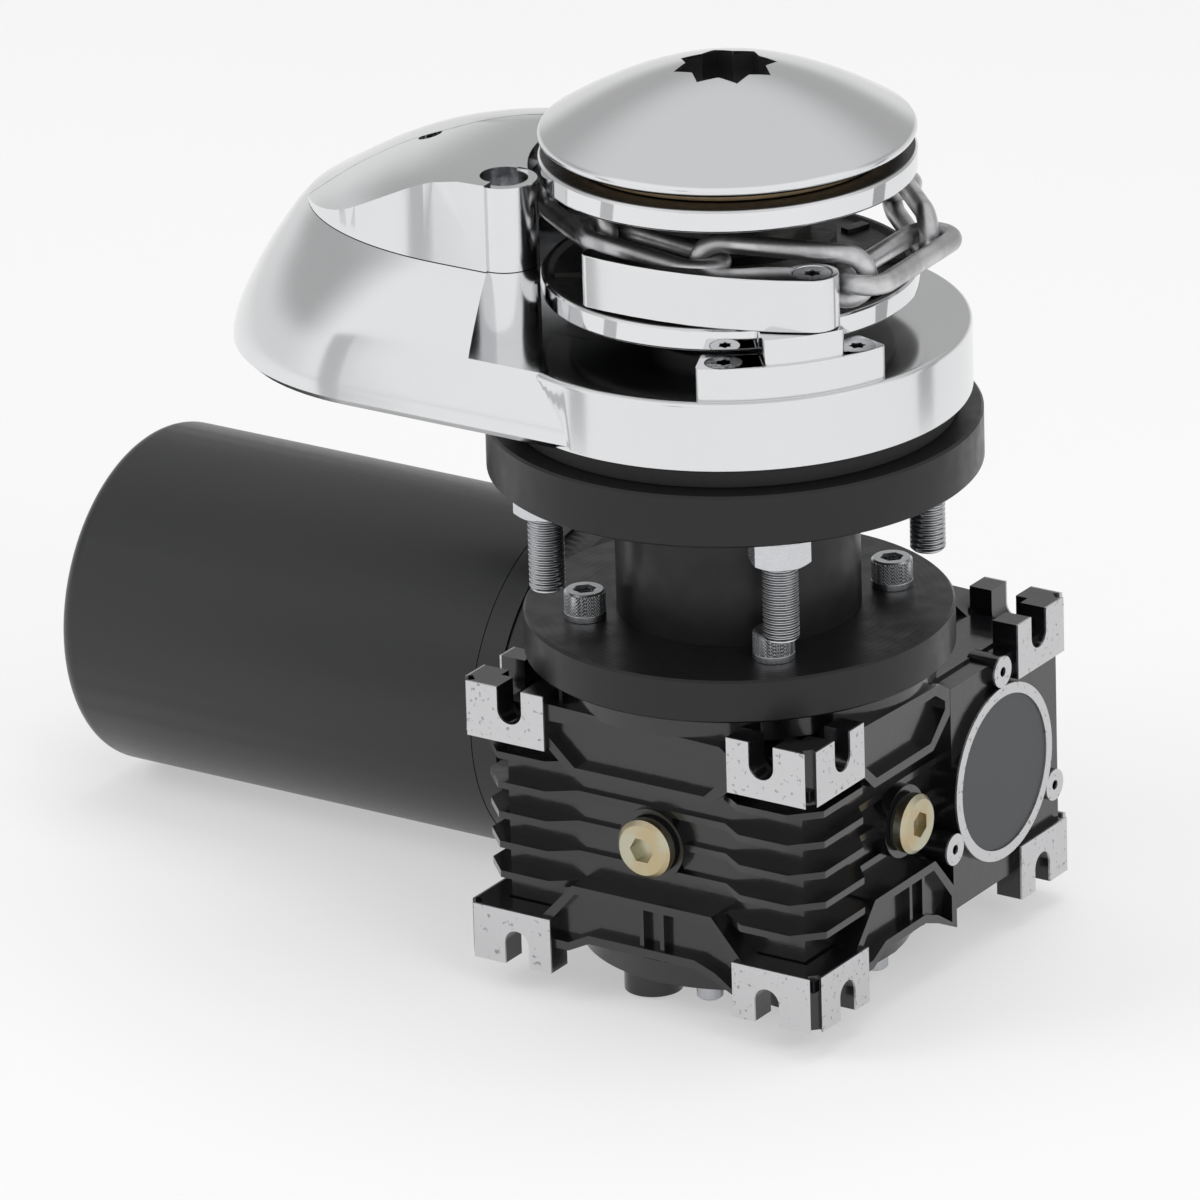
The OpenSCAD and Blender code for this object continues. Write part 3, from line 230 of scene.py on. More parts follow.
def boolean(piece, cutter, operation="DIFFERENCE"):
    """Joins, cuts or intersects the piece with the cutter, which is used up."""
    add_modifier(piece, "BOOLEAN", operation=operation, object=cutter, solver="EXACT")
    apply_all(piece)
    bpy.data.objects.remove(cutter)
    return piece


def outline(name, points):
    """An edge chain through points, drawn by extruding one vertex."""
    clear()
    bpy.ops.mesh.primitive_plane_add(size=0.001, location=(0, 0, 0))
    piece = bpy.context.object
    piece.name = name
    edit(piece)
    bpy.ops.mesh.select_all(action="SELECT")
    bpy.ops.mesh.merge(type="CENTER")
    bpy.ops.transform.translate(value=points[0])
    for a, b in zip(points, points[1:]):
        step = tuple(q - p for p, q in zip(a, b))
        bpy.ops.mesh.extrude_vertices_move(TRANSFORM_OT_translate={"value": step})
    done()
    return piece


def prism(name, points, low, high):
    """An upright prism on a closed plan outline, in millimetres."""
    piece = outline(name, [(x * MM, y * MM, low * MM) for x, y in points])
    edit(piece)
    bpy.ops.mesh.select_all(action="SELECT")
    bpy.ops.mesh.edge_face_add()
    bpy.ops.mesh.extrude_region_move(TRANSFORM_OT_translate={"value": (0, 0, (high - low) * MM)})
    done()
    return outward(piece)


def turned(name, profile, steps=192):
    """A solid of revolution about Z through (radius, height) points in millimetres."""
    piece = outline(name, [(r * MM, 0, z * MM) for r, z in profile])
    add_modifier(
        piece, "SCREW", axis="Z", angle=math.tau, steps=steps, render_steps=steps,
        screw_offset=0, use_merge_vertices=True, merge_threshold=SAME_POINT,
    )
    apply_all(piece)
    return outward(piece)


def rod(name, radius, low, high, x=0, y=0, vertices=96):
    clear()
    bpy.ops.mesh.primitive_cylinder_add(
        vertices=vertices, radius=radius * MM, depth=(high - low) * MM,
        location=(x * MM, y * MM, (low + high) / 2 * MM),
    )
    piece = bpy.context.object
    piece.name = name
    return settle(piece)


def arc(cx, cz, radius, start, end, steps):
    return [
        (cx + radius * math.cos(math.radians(start + (end - start) * i / steps)),
         cz + radius * math.sin(math.radians(start + (end - start) * i / steps)))
        for i in range(steps + 1)
    ]


def dress(piece, finish, body, slot, *nodes):
    piece.data.materials.clear()
    piece.data.materials.append(finish)
    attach(piece, body)
    if nodes:
        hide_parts(*nodes)
    return piece


# Shader maths


class Val:
    """A shader value that can be written into sums, products and comparisons."""

    def __init__(self, tree, socket):
        self.tree = tree
        self.socket = socket

    def _maths(self, operation, *values):
        node = self.tree.nodes.new("ShaderNodeMath")
        node.operation = operation
        for i, value in enumerate(values):
            if isinstance(value, Val):
                self.tree.links.new(value.socket, node.inputs[i])
            else:
                node.inputs[i].default_value = value
        return Val(self.tree, node.outputs[0])

    def __add__(self, other):
        return self._maths("ADD", self, other)

    __radd__ = __add__

    def __sub__(self, other):
        return self._maths("SUBTRACT", self, other)

    def __rsub__(self, other):
        return self._maths("SUBTRACT", other, self)

    def __mul__(self, other):
        return self._maths("MULTIPLY", self, other)

    __rmul__ = __mul__

    def __gt__(self, other):
        return self._maths("GREATER_THAN", self, other)

    def __lt__(self, other):
        return self._maths("LESS_THAN", self, other)

    def __abs__(self):
        return self._maths("ABSOLUTE", self)

    def root(self):
        return self._maths("SQRT", self)

    def wave(self):
        return self._maths("SINE", self)

    def least(self, other):
        return self._maths("MINIMUM", self, other)

    def ramp(self, low, high, to_low=0.0, to_high=1.0):
        node = self.tree.nodes.new("ShaderNodeMapRange")
        node.interpolation_type = "SMOOTHSTEP"
        self.tree.links.new(self.socket, node.inputs[0])
        for i, value in enumerate((low, high, to_low, to_high)):
            node.inputs[i + 1].default_value = value
        return Val(self.tree, node.outputs[0])


class Finish:
    """One procedural surface finish on Object coordinates."""

    def __init__(self, name):
        self.material = bpy.data.materials.new(name)
        self.material.use_nodes = True
        self.tree = self.material.node_tree
        self.tree.nodes.clear()
        self.shader = self.tree.nodes.new("ShaderNodeBsdfPrincipled")
        out = self.tree.nodes.new("ShaderNodeOutputMaterial")
        self.tree.links.new(self.shader.outputs[0], out.inputs[0])
        self.place = self.tree.nodes.new("ShaderNodeTexCoord").outputs["Object"]
        split = self.node("ShaderNodeSeparateXYZ", {}, Vector=self.place)
        self.x = Val(self.tree, split.outputs[0])
        self.y = Val(self.tree, split.outputs[1])
        self.z = Val(self.tree, split.outputs[2])

    def node(self, kind, settings, **values):
        node = self.tree.nodes.new(kind)
        for key, value in settings.items():
            setattr(node, key, value)
        for key, value in values.items():
            self.feed(node.inputs[key.replace("_", " ")], value)
        return node

    def feed(self, socket, value):
        """Gives a socket a link or a value. A colour of three numbers is made opaque."""
        if isinstance(value, Val):
            self.tree.links.new(value.socket, socket)
        elif isinstance(value, bpy.types.NodeSocket):
            self.tree.links.new(value, socket)
        elif socket.type == "RGBA":
            socket.default_value = (*value, 1.0)
        else:
            socket.default_value = value

    def radius(self):
        """The distance from the Z axis."""
        return (self.x * self.x + self.y * self.y).root()

    def noise(self, scale, detail=3.0, stretch=None):
        vector = self.place
        if stretch:
            mapping = self.node("ShaderNodeMapping", {}, Vector=self.place, Scale=stretch)
            vector = mapping.outputs[0]
        node = self.node("ShaderNodeTexNoise", {}, Vector=vector, Scale=scale, Detail=detail)
        return Val(self.tree, node.outputs[0])

    def mix(self, factor, first, second):
        node = self.tree.nodes.new("ShaderNodeMix")
        node.data_type = "RGBA"
        for index, value in ((0, factor), (6, first), (7, second)):
            self.feed(node.inputs[index], value)
        return node.outputs[2]

    def bump(self, height, strength, distance):
        node = self.node("ShaderNodeBump", {}, Strength=strength, Distance=distance, Height=height)
        return node.outputs[0]

    def set(self, **values):
        for key, value in values.items():
            self.feed(self.shader.inputs[key.replace("_", " ")], value)
        return self.material


TURNING_FREQUENCY = 2600.0
KNURL_FREQUENCY = 5200.0
WIRE_FREQUENCY = 5200.0
RECESS_DEPTH = 0.0006
SOCKET_RADIUS = 0.0178
SOCKET_LIP = 0.0014
MILLED_DEPTH = 0.0007
PAD_START = 0.034
PAD_END = 0.069
PAD_FRONT = -0.066
PAD_BACK = 0.098
BRIGHT_RIM = (0.0617, 0.0621)


def turning_marks(look):
    """Fine concentric lines about the Z axis."""
    return (look.radius() * TURNING_FREQUENCY).wave()


def times(colour, share):
    return tuple(c * share for c in colour)


def polish(look, chrome):
    """The colour and the roughness of polished chrome."""
    cloud = look.noise(9.0, 2.0)
    return look.mix(cloud, chrome, times(chrome, 0.97)), look.noise(30.0, 3.0).ramp(0.35, 0.7, 0.12, 0.17)


def make_finishes(colours, sizes):
    made = {}

    chrome, stainless = tuple(colours.chrome), tuple(colours.stainless)

    f = Finish("polished_chrome")
    colour, rough = polish(f, chrome)
    made["chrome"] = f.set(Base_Color=colour, Metallic=1.0, Roughness=rough)

    f = Finish("chrome_with_painted_shade_in_socket")
    # Painted shade: inside the star socket, below its lip, the chrome is painted dark grey and made rougher
    # to stand for the deep socket's shadow.
    socket = (f.radius() < SOCKET_RADIUS) * (f.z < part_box("dome_cap")[1].z - SOCKET_LIP)
    colour, rough = polish(f, chrome)
    made["cap"] = f.set(
        Base_Color=f.mix(socket, colour, (0.2, 0.2, 0.205)), Metallic=1.0, Roughness=rough + socket * 0.16,
    )

    for key, node in (("bracket_head", "bracket_screws"), ("pin_head", "arm_pin")):
        f = Finish("stainless_" + key)
        # Painted shade: everything below the top face of each head, its socket included, is painted near
        # black and made rougher.
        painted_shade_below_top = f.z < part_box(node)[1].z - RECESS_DEPTH
        brushed = f.noise(260.0, 3.0)
        made[key] = f.set(
            Base_Color=f.mix(painted_shade_below_top, times(stainless, 0.9), (0.06, 0.06, 0.06)),
            Metallic=1.0, Roughness=brushed * 0.14 + 0.2 + painted_shade_below_top * 0.2,
        )

    f = Finish("black_casting_milled_pads")
    ends = abs(f.x) > PAD_END - MILLED_DEPTH
    sides = (f.y < PAD_FRONT + MILLED_DEPTH) + (f.y > PAD_BACK - MILLED_DEPTH)
    milled = (ends + sides * (abs(f.x) > PAD_START)).least(1.0)
    grain = f.noise(900.0, 4.0)
    speck = f.noise(520.0, 2.0).ramp(0.62, 0.7)
    cast = f.noise(260.0, 3.0)
    silver = f.mix(speck, tuple(colours.milled), times(colours.milled, 0.55))
    made["housing"] = f.set(
        Base_Color=f.mix(milled, tuple(colours.casting), silver),
        Metallic=milled,
        Roughness=milled * (grain * 0.2 + 0.3) + (1 - milled) * (cast * 0.14 + 0.13),
        Coat_Weight=(1 - milled) * 0.5, Coat_Roughness=0.08,
        Normal=f.bump(grain * milled * 0.4 + cast * (1 - milled), 0.25, 0.0004),
    )

    f = Finish("black_casting")
    cast = f.noise(260.0, 3.0)
    made["casting"] = f.set(
        Base_Color=tuple(colours.casting), Roughness=cast * 0.14 + 0.15, Coat_Weight=0.5,
        Coat_Roughness=0.08, Normal=f.bump(cast, 0.25, 0.0004),
    )

    f = Finish("matte_grey_cover")
    pebble = f.noise(700.0, 3.0)
    made["cover"] = f.set(
        Base_Color=f.mix(pebble, tuple(colours.cover), times(colours.cover, 1.25)),
        Roughness=pebble * 0.1 + 0.48, Normal=f.bump(pebble, 0.15, 0.0003),
    )

    f = Finish("black_anodised_turned")
    made["anodised"] = f.set(
        Base_Color=f.mix(f.noise(40.0), tuple(colours.anodised), times(colours.anodised, 1.3)),
        Metallic=0.35, Roughness=f.noise(120.0).ramp(0.3, 0.7, 0.3, 0.42),
        Normal=f.bump(turning_marks(f), 0.05, 0.0002),
    )

    f = Finish("motor_black_satin")
    peel = f.noise(420.0, 2.0)
    made["motor"] = f.set(
        Base_Color=f.mix(peel, tuple(colours.motor), times(colours.motor, 1.2)),
        Roughness=peel * 0.08 + 0.3, Normal=f.bump(peel, 0.1, 0.0002),
    )

    f = Finish("rubber_black")
    dust = f.noise(300.0, 4.0)
    made["rubber"] = f.set(
        Base_Color=f.mix(dust, (0.012, 0.012, 0.013), (0.022, 0.022, 0.023)),
        Roughness=dust * 0.1 + 0.6, Normal=f.bump(dust, 0.2, 0.0003),
    )

    f = Finish("stainless_steel")
    streak = f.noise(300.0, 3.0, (1.0, 1.0, 6.0))
    made["stainless"] = f.set(
        Base_Color=f.mix(streak, stainless, times(stainless, 0.85)),
        Metallic=1.0, Roughness=streak * 0.14 + 0.2,
    )

    f = Finish("ground_steel")
    streak = f.noise(200.0, 3.0, (6.0, 1.0, 1.0))
    made["steel"] = f.set(
        Base_Color=f.mix(streak, (0.42, 0.43, 0.45), (0.5, 0.51, 0.53)),
        Metallic=1.0, Roughness=streak * 0.15 + 0.25,
    )

    f = Finish("galvanised_steel")
    blotch = f.noise(110.0, 4.0)
    made["galvanised"] = f.set(
        Base_Color=f.mix(blotch.ramp(0.35, 0.65), tuple(colours.galvanised), times(colours.galvanised, 0.72)),
        Metallic=1.0, Roughness=blotch * 0.25 + 0.28,
        Normal=f.bump(f.noise(500.0, 2.0), 0.12, 0.0004),
    )

    f = Finish("zinc_yellow_plating")
    tint = f.noise(90.0, 3.0)
    made["zinc"] = f.set(
        Base_Color=f.mix(tint.ramp(0.35, 0.65), (0.5, 0.41, 0.25), (0.5, 0.49, 0.38)),
        Metallic=1.0, Roughness=tint * 0.15 + 0.25,
    )

    f = Finish("tan_brass")
    tint = f.noise(80.0, 3.0)
    made["brass"] = f.set(
        Base_Color=f.mix(tint, tuple(colours.brass), times(colours.brass, 0.8)),
        Metallic=0.9, Roughness=tint * 0.15 + 0.32, Normal=f.bump(turning_marks(f), 0.05, 0.0002),
    )

    f = Finish("chain_wheel_chrome_rim_dark_core_and_painted_shade")
    # Only the outer rim, beyond about 62 mm radius, is chrome; everything inside it is dark. The dark is
    # partly the wheel's own dark cast core and partly painted shade: the rim's chrome top face and the inner
    # seat, which lie in the cap's shadow, are painted dark.
    bright = f.radius().ramp(*BRIGHT_RIM)
    rough = f.noise(300.0, 4.0)
    made["wheel"] = f.set(
        Base_Color=f.mix(bright, (0.09, 0.088, 0.085), chrome),
        Metallic=1.0, Roughness=bright * 0.05 + (1 - bright) * (rough * 0.25 + 0.3),
        Normal=f.bump(rough * (1 - bright), 0.4, 0.0005),
    )

    f = Finish("blackened_steel")
    scale = f.noise(240.0, 3.0)
    made["dark_steel"] = f.set(
        Base_Color=f.mix(scale, (0.05, 0.05, 0.052), (0.09, 0.088, 0.086)),
        Metallic=0.9, Roughness=scale * 0.2 + 0.36,
    )

    f = Finish("stainless_thread")
    turns = (f.z * (math.tau / sizes.thread_pitch)).wave()
    made["thread"] = f.set(
        Base_Color=f.mix(f.noise(300.0), stainless, times(stainless, 0.8)),
        Metallic=1.0, Roughness=turns * 0.06 + 0.28, Normal=f.bump(turns, 0.9, 0.0006),
    )

    f = Finish("stainless_knurled_heads")
    side = f.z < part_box("flange_screws")[1].z - RECESS_DEPTH
    diamond = side
    for way in (f.x, f.y, f.z):
        diamond = (way * KNURL_FREQUENCY).wave() * diamond
    made["knurled"] = f.set(
        Base_Color=f.mix(side, stainless, times(stainless, 0.7)),
        Metallic=1.0, Roughness=f.noise(300.0) * 0.1 + 0.26, Normal=f.bump(diamond, 0.8, 0.0006),
    )

    f = Finish("copper_windings")
    wind = (f.x * WIRE_FREQUENCY).wave()
    made["copper"] = f.set(
        Base_Color=f.mix(f.noise(60.0), (0.55, 0.24, 0.1), (0.42, 0.17, 0.07)),
        Metallic=0.8, Roughness=f.noise(200.0) * 0.2 + 0.3, Normal=f.bump(wind, 0.3, 0.0004),
    )

    f = Finish("dark_magnet")
    grit = f.noise(500.0, 3.0)
    made["magnet"] = f.set(
        Base_Color=f.mix(grit, (0.07, 0.07, 0.075), (0.12, 0.12, 0.125)), Roughness=grit * 0.2 + 0.55,
    )

    f = Finish("brown_board")
    fibre = f.noise(150.0, 4.0, (1.0, 8.0, 1.0))
    made["board"] = f.set(
        Base_Color=f.mix(fibre, (0.2, 0.11, 0.05), (0.3, 0.18, 0.09)), Roughness=fibre * 0.2 + 0.45,
    )
    return made


FINISHES = {}


def finish(name):
    if not FINISHES:
        scene = bpy.context.scene
        FINISHES.update(make_finishes(scene.windlass_colours, scene.windlass_sizes))
    return FINISHES[name]


# Sizes and colours


def size_prop(name, default, description):
    return bpy.props.FloatProperty(
        name=name, description=description, default=default * MM, unit="LENGTH", subtype="DISTANCE", min=0.0,
    )


def colour_prop(name, default, description):
    return bpy.props.FloatVectorProperty(
        name=name, description=description, default=default, size=3, subtype="COLOR", min=0.0, max=1.0,
    )


class WindlassSizes(bpy.types.PropertyGroup):
    """Sizes of the pieces that are modelled here."""

    plate_radius: size_prop("Plate radius", 79.5, "Radius of the round base plate")
    plate_height: size_prop("Plate height", 24.3, "Thickness of the base plate")
    casting_edge: size_prop("Casting rounding", 0.7, "Rounding of the gear housing's edges")
    thread_pitch: size_prop("Thread pitch", 1.75, "Pitch of the deck studs' thread")
    cap_radius: size_prop("Cap radius", 62.6, "Radius of the dome cap")
    cap_edge: size_prop("Cap edge", 2.2, "Radius of the cap's rim above its widest circle")
    cap_lip: size_prop("Cap lip", 3.6, "Height of the cap's widest circle above its underside")
    cap_under: size_prop("Cap underside curve", 9.0, "Width of the curve under the cap's rim")
    cap_rise: size_prop("Cap rise", 23.85, "Height of the dome above the cap's widest circle")
    star_width: size_prop("Star width", 35.0, "Width across the points of the cap's socket")


class WindlassColours(bpy.types.PropertyGroup):
    """Colours of the finishes."""

    chrome: colour_prop("Chrome", (0.765, 0.77, 0.78), "Polished chrome")
    casting: colour_prop("Casting", (0.006, 0.006, 0.007), "Gloss paint on the castings")
    milled: colour_prop("Milled pads", (0.62, 0.62, 0.63), "Bare milled faces of the housing")
    cover: colour_prop("Worm cover", (0.05, 0.052, 0.055), "Matte cover of the worm's end")
    anodised: colour_prop("Spool", (0.012, 0.012, 0.013), "Black anodised spool")
    motor: colour_prop("Motor", (0.012, 0.0125, 0.0135), "Satin paint on the motor")
    stainless: colour_prop("Stainless", (0.66, 0.67, 0.69), "Stainless fasteners")
    galvanised: colour_prop("Chain", (0.66, 0.66, 0.67), "Galvanised chain")
    brass: colour_prop("Cones", (0.52, 0.38, 0.22), "Tan brass of the clutch cones")


# The pod's form

POST = (-56.0, -49.0)
POST_RADIUS = 11
SEAM_HEIGHT = 50.0
SEAM_GAP = 0.4
SWING = 60.5
DOME_HEIGHT = 30.2
DRUM_SPACE = 66
BACK_END = -15  # where the lofts end, inside the drum's space
FOOT_EDGE = 1.2
PIPE_PLACE = -95
PIPE_RADIUS = 22
BUSH_RADIUS = 19

# Each row is (height, nose, centre, half width)
BODY_LEVELS = [
    (0, -183.5, -105, 77), (3, -184.8, -105, 78.3), (12, -182.4, -104, 76.8), (24, -176.5, -100, 73.5),
    (37, -169, -90, 68), (50, -158.8, -76, 61),
]
DOME_LEVELS = [
    (58, -146, -70, 53), (66, -131.5, -64, 44), (73, -115.5, -60, 35), (78, -98, -58, 26),
    (80.2, -84, -56, 17),
]

# Each row is (height, half width in front)
NEAR_LEVELS = [(50, 67), (58, 69), (66, 71), (73, 71), (78, 70), (80.2, 66)]


def along(rows, height):
    """The other columns of the rows at a height, on a smooth curve through them."""
    last = len(rows) - 1
    i = max(k for k in range(last) if rows[k][0] <= height or k == 0)
    before, a, b, after = rows[max(i - 1, 0)], rows[i], rows[i + 1], rows[min(i + 2, last)]
    span = b[0] - a[0]
    t = (height - a[0]) / span
    values = []
    for c in range(1, len(a)):
        slope_a = (b[c] - before[c]) / (b[0] - before[0])
        slope_b = (after[c] - a[c]) / (after[0] - a[0])
        h00, h10 = 2 * t**3 - 3 * t**2 + 1, t**3 - 2 * t**2 + t
        h01, h11 = -2 * t**3 + 3 * t**2, t**3 - t**2
        values.append(h00 * a[c] + h10 * span * slope_a + h01 * b[c] + h11 * span * slope_b)
    return values


def nose_loft(name, rows, end):
    """A loft of D-shaped rings that ends flat at end.

    A row is (height, nose, centre, half width in front, half width behind).
    """
    clear()
    bpy.ops.mesh.primitive_circle_add(vertices=112, radius=1.0, location=(0, 0, 0))
    piece = bpy.context.object
    piece.name = name
    edit(piece)
    pick(piece, lambda p: p.x > 0.0001)
    bpy.ops.mesh.delete(type="VERT")
    pick(piece, lambda p: abs(p.x) < 0.0001)
    bpy.ops.mesh.extrude_vertices_move(TRANSFORM_OT_translate={"value": (1, 0, 0)})
    bpy.ops.mesh.edge_face_add()
    past = (0.0, -1.0, 0.0, 1.0, 1.0)
    for row in rows:
        new = [v * MM for v in row]
        first = row is rows[0]
        bpy.ops.mesh.select_all(action="DESELECT")
        level = past[0]
        pick(piece, lambda p: abs(p.z - level) < SAME_LEVEL)
        if not first:
            rise = (0, 0, new[0] - past[0])
            bpy.ops.mesh.extrude_region_move(TRANSFORM_OT_translate={"value": rise})
        elif new[0]:
            bpy.ops.transform.translate(value=(0, 0, new[0]))
        level = new[0]
        c = past[2]
        pick(piece, lambda p: abs(p.z - level) < SAME_LEVEL and p.x < c + 1e-6)
        bpy.ops.transform.resize(
            value=((new[2] - new[1]) / (past[2] - past[1]), 1, 1), center_override=(past[2], 0, 0))
        bpy.ops.transform.translate(value=(new[2] - past[2], 0, 0))
        if first:
            pick(piece, lambda p: abs(p.z - level) < SAME_LEVEL and p.x > 0.5)
            bpy.ops.transform.translate(value=(end * MM - 1.0, 0, 0))
        pick(piece, lambda p: abs(p.z - level) < SAME_LEVEL and p.y < -1e-9)
        bpy.ops.transform.resize(value=(1, new[3] / past[3], 1), center_override=(0, 0, 0))
        pick(piece, lambda p: abs(p.z - level) < SAME_LEVEL and p.y > 1e-9)
        bpy.ops.transform.resize(value=(1, new[4] / past[4], 1), center_override=(0, 0, 0))
        past = new
    for level in (rows[0][0] * MM, rows[-1][0] * MM):
        pick(piece, lambda p: abs(p.z - level) < SAME_LEVEL)
        bpy.ops.mesh.edge_face_add()
    done()
    return outward(piece)


def body_loft():
    rows = []
    for i in range(21):
        z = SEAM_HEIGHT * i / 20
        nose, centre, half = along(BODY_LEVELS + DOME_LEVELS, z)
        rows.append((z, nose, centre, half, half))
    _, nose, centre, half, _ = rows[0]
    rows[0] = (0, nose + FOOT_EDGE, centre, half - FOOT_EDGE, half - FOOT_EDGE)
    return nose_loft("pod_low", rows, BACK_END)


def dome_loft():
    rows = []
    for i in range(17):
        z = SEAM_HEIGHT + DOME_HEIGHT * i / 16
        nose, centre, far = along(BODY_LEVELS + DOME_LEVELS, z)
        rows.append((z, nose, centre, along(NEAR_LEVELS, z)[0], far))
    rows.append((80.6, -74, -50, 60, 10))
    return nose_loft("pod_high", rows, BACK_END)


def seam_wall():
    """An upright wall above the seam's outline in front, open behind."""
    nose, centre, half = along(BODY_LEVELS + DOME_LEVELS, SEAM_HEIGHT)
    rows = [(z, nose - 0.01, centre, half, 90) for z in (48, 100)]
    return nose_loft("seam_wall", rows, BACK_END + 1)


def lid_zone(gap):
    """The space of the swinging lid. With a gap it is what the base leaves free around it."""
    px, py = POST
    points = [(-10, -110), (-200, -110), (-200, -46 + gap), (-147, -30 + gap), (-126, -22 + gap)]
    for angle in range(140, 88, -4):
        a = math.radians(angle)
        points.append((px + (SWING + gap) * math.cos(a), py + (SWING + gap) * math.sin(a)))
    points.append((-10, py + SWING + gap))
    return prism("lid_zone", points, SEAM_HEIGHT - (0 if gap else -SEAM_GAP), 110)


def pod_hollow():
    # Each row is (height, half width)
    rows = [(20, 66), (26, 66), (38, 60.5), (50, 54), (60, 45), (68, 35), (73.5, 24)]
    return nose_loft("pod_hollow", [(z, -70 - 1.42 * r, -70, r, r) for z, r in rows], 20)


def beside_drum(low):
    """Everything that the pod keeps clear of: the drum's space and the front past the post."""
    drum = rod("drum_space", DRUM_SPACE, low, 130, vertices=192)
    front = prism("front_space", [(POST[0], -92), (40, -92), (40, -40), (POST[0], -40)], low, 130)
    back = prism("back_space", [(-40, 40), (40, 40), (40, 92), (-40, 92)], low, 130)
    boolean(drum, front, "UNION")
    return boolean(drum, back, "UNION")


# The stage: floor, light, camera and the cards that the chrome mirrors

FLOOR_LEVEL = CAD_BOX[0][2]
FLOOR_SIZE = 6.0
FLOOR_GAP = 0.0002
FLOOR_GLOW = 0.45  # share of the floor's shading that is its own light
ROOM_LIGHT = 0.62  # what the room gives to matt surfaces
TOWARD_CAMERA = (0.544, 0.839)
LAMP_AIM = (0, 0, -0.03)
# Name, place, size and power in watts
LAMPS = (
    ("lamp_left", (-1.6, -1.5, 1.5), 1.2, 17.0),
    ("lamp_right", (1.9, -0.9, 1.2), 1.0, 11.0),
    ("lamp_top", (0.1, 0.3, 2.2), 1.4, 15.0),
)
CARD_GAP = 0.002
# Name, heading in degrees, distance, width, height and shade
CARDS = (
    ("card_left", -133, 0.6, 0.1, 0.34, 0.55),
    ("card_right", 42, 0.6, 0.12, 0.34, 0.42),
    ("card_front", -84, 1.1, 0.12, 0.3, 0.45),
)
CAMERA_PLACE = (2.0257, -3.1293, 1.4067)
CAMERA_ANGLES = (33.63, 21.67, -1.73)  # heading, tilt and roll in degrees
CAMERA_LENS = 360.6
CAMERA_SENSOR = 36.0
CAMERA_REACH = 20.0


def add_floor():
    clear()
    bpy.ops.mesh.primitive_plane_add(size=FLOOR_SIZE, location=(0, 0, FLOOR_LEVEL - FLOOR_GAP))
    floor = bpy.context.object
    floor.name = "floor"
    f = Finish("pale_floor")
    colour = f.mix(f.noise(3.0), (0.9, 0.9, 0.9), (0.92, 0.92, 0.92))
    floor.data.materials.append(f.set(Base_Color=colour, Roughness=0.9))
    lit = f.node("ShaderNodeEmission", {}, Strength=1.0)
    fade = f.tree.nodes.new("ShaderNodeMixShader")
    fade.inputs[0].default_value = FLOOR_GLOW
    out = next(n for n in f.tree.nodes if n.type == "OUTPUT_MATERIAL")
    f.tree.links.new(f.shader.outputs[0], fade.inputs[1])
    f.tree.links.new(lit.outputs[0], fade.inputs[2])
    f.tree.links.new(fade.outputs[0], out.inputs[0])


def add_room(scene):
    """A white room for the camera, and a graded softbox for what the surfaces mirror."""
    world = bpy.data.worlds.new("pale_room")
    scene.world = world
    world.use_nodes = True
    tree = world.node_tree
    back = tree.nodes["Background"]
    path = tree.nodes.new("ShaderNodeLightPath").outputs
    seen = (Val(tree, path["Is Camera Ray"]) + Val(tree, path["Is Transmission Ray"])).least(1.0)
    mirrored = Val(tree, path["Is Glossy Ray"])
    split = tree.nodes.new("ShaderNodeSeparateXYZ")
    tree.links.new(tree.nodes.new("ShaderNodeTexCoord").outputs["Generated"], split.inputs[0])
    x, y, height = (Val(tree, output) for output in split.outputs)
    facing = (x * TOWARD_CAMERA[0] - y * TOWARD_CAMERA[1]).ramp(-0.25, 0.25)
    behind = height.ramp(0.05, 0.3, 0.8, 0.48) + height.ramp(0.45, 0.8, 0.0, 0.27)
    softbox = facing * (1 - height.ramp(0.72, 0.95) * 0.25) + (1 - facing) * behind
    strength = seen + (1 - seen) * (mirrored * softbox + (1 - mirrored) * ROOM_LIGHT)
    tree.links.new(strength.socket, back.inputs[1])
    back.inputs[0].default_value = (1, 1, 1, 1)


def add_lamps(scene):
    for name, place, size, power in LAMPS:
        data = bpy.data.lights.new(name, "AREA")
        data.size = size
        data.energy = power
        lamp = bpy.data.objects.new(name, data)
        scene.collection.objects.link(lamp)
        lamp.location = place
        lamp.visible_glossy = False
        aim = Vector(LAMP_AIM) - Vector(place)
        lamp.rotation_euler = aim.to_track_quat("-Z", "Y").to_euler()


def add_cards():
    """Upright cards that only reflections see."""
    for name, heading, distance, width, height, shade in CARDS:
        turn = math.radians(heading)
        clear()
        bpy.ops.mesh.primitive_plane_add(size=1.0, location=(0, 0, 0))
        card = bpy.context.object
        card.name = name
        card.scale = (width, height, 1)
        card.location = (
            distance * math.cos(turn), distance * math.sin(turn), FLOOR_LEVEL + height / 2 + CARD_GAP)
        card.rotation_euler = (math.pi / 2, 0, turn + math.pi / 2)
        f = Finish(name + "_look")
        tone = f.mix(f.noise(4.0, 2.0), (shade, shade, shade), times((shade, shade, shade), 1.08))
        card.data.materials.append(f.set(
            Base_Color=(0.0, 0.0, 0.0), Roughness=0.9, Specular_IOR_Level=0.0,
            Emission_Color=tone, Emission_Strength=1.0))
        card.visible_camera = False
        card.visible_diffuse = False
        card.visible_shadow = False


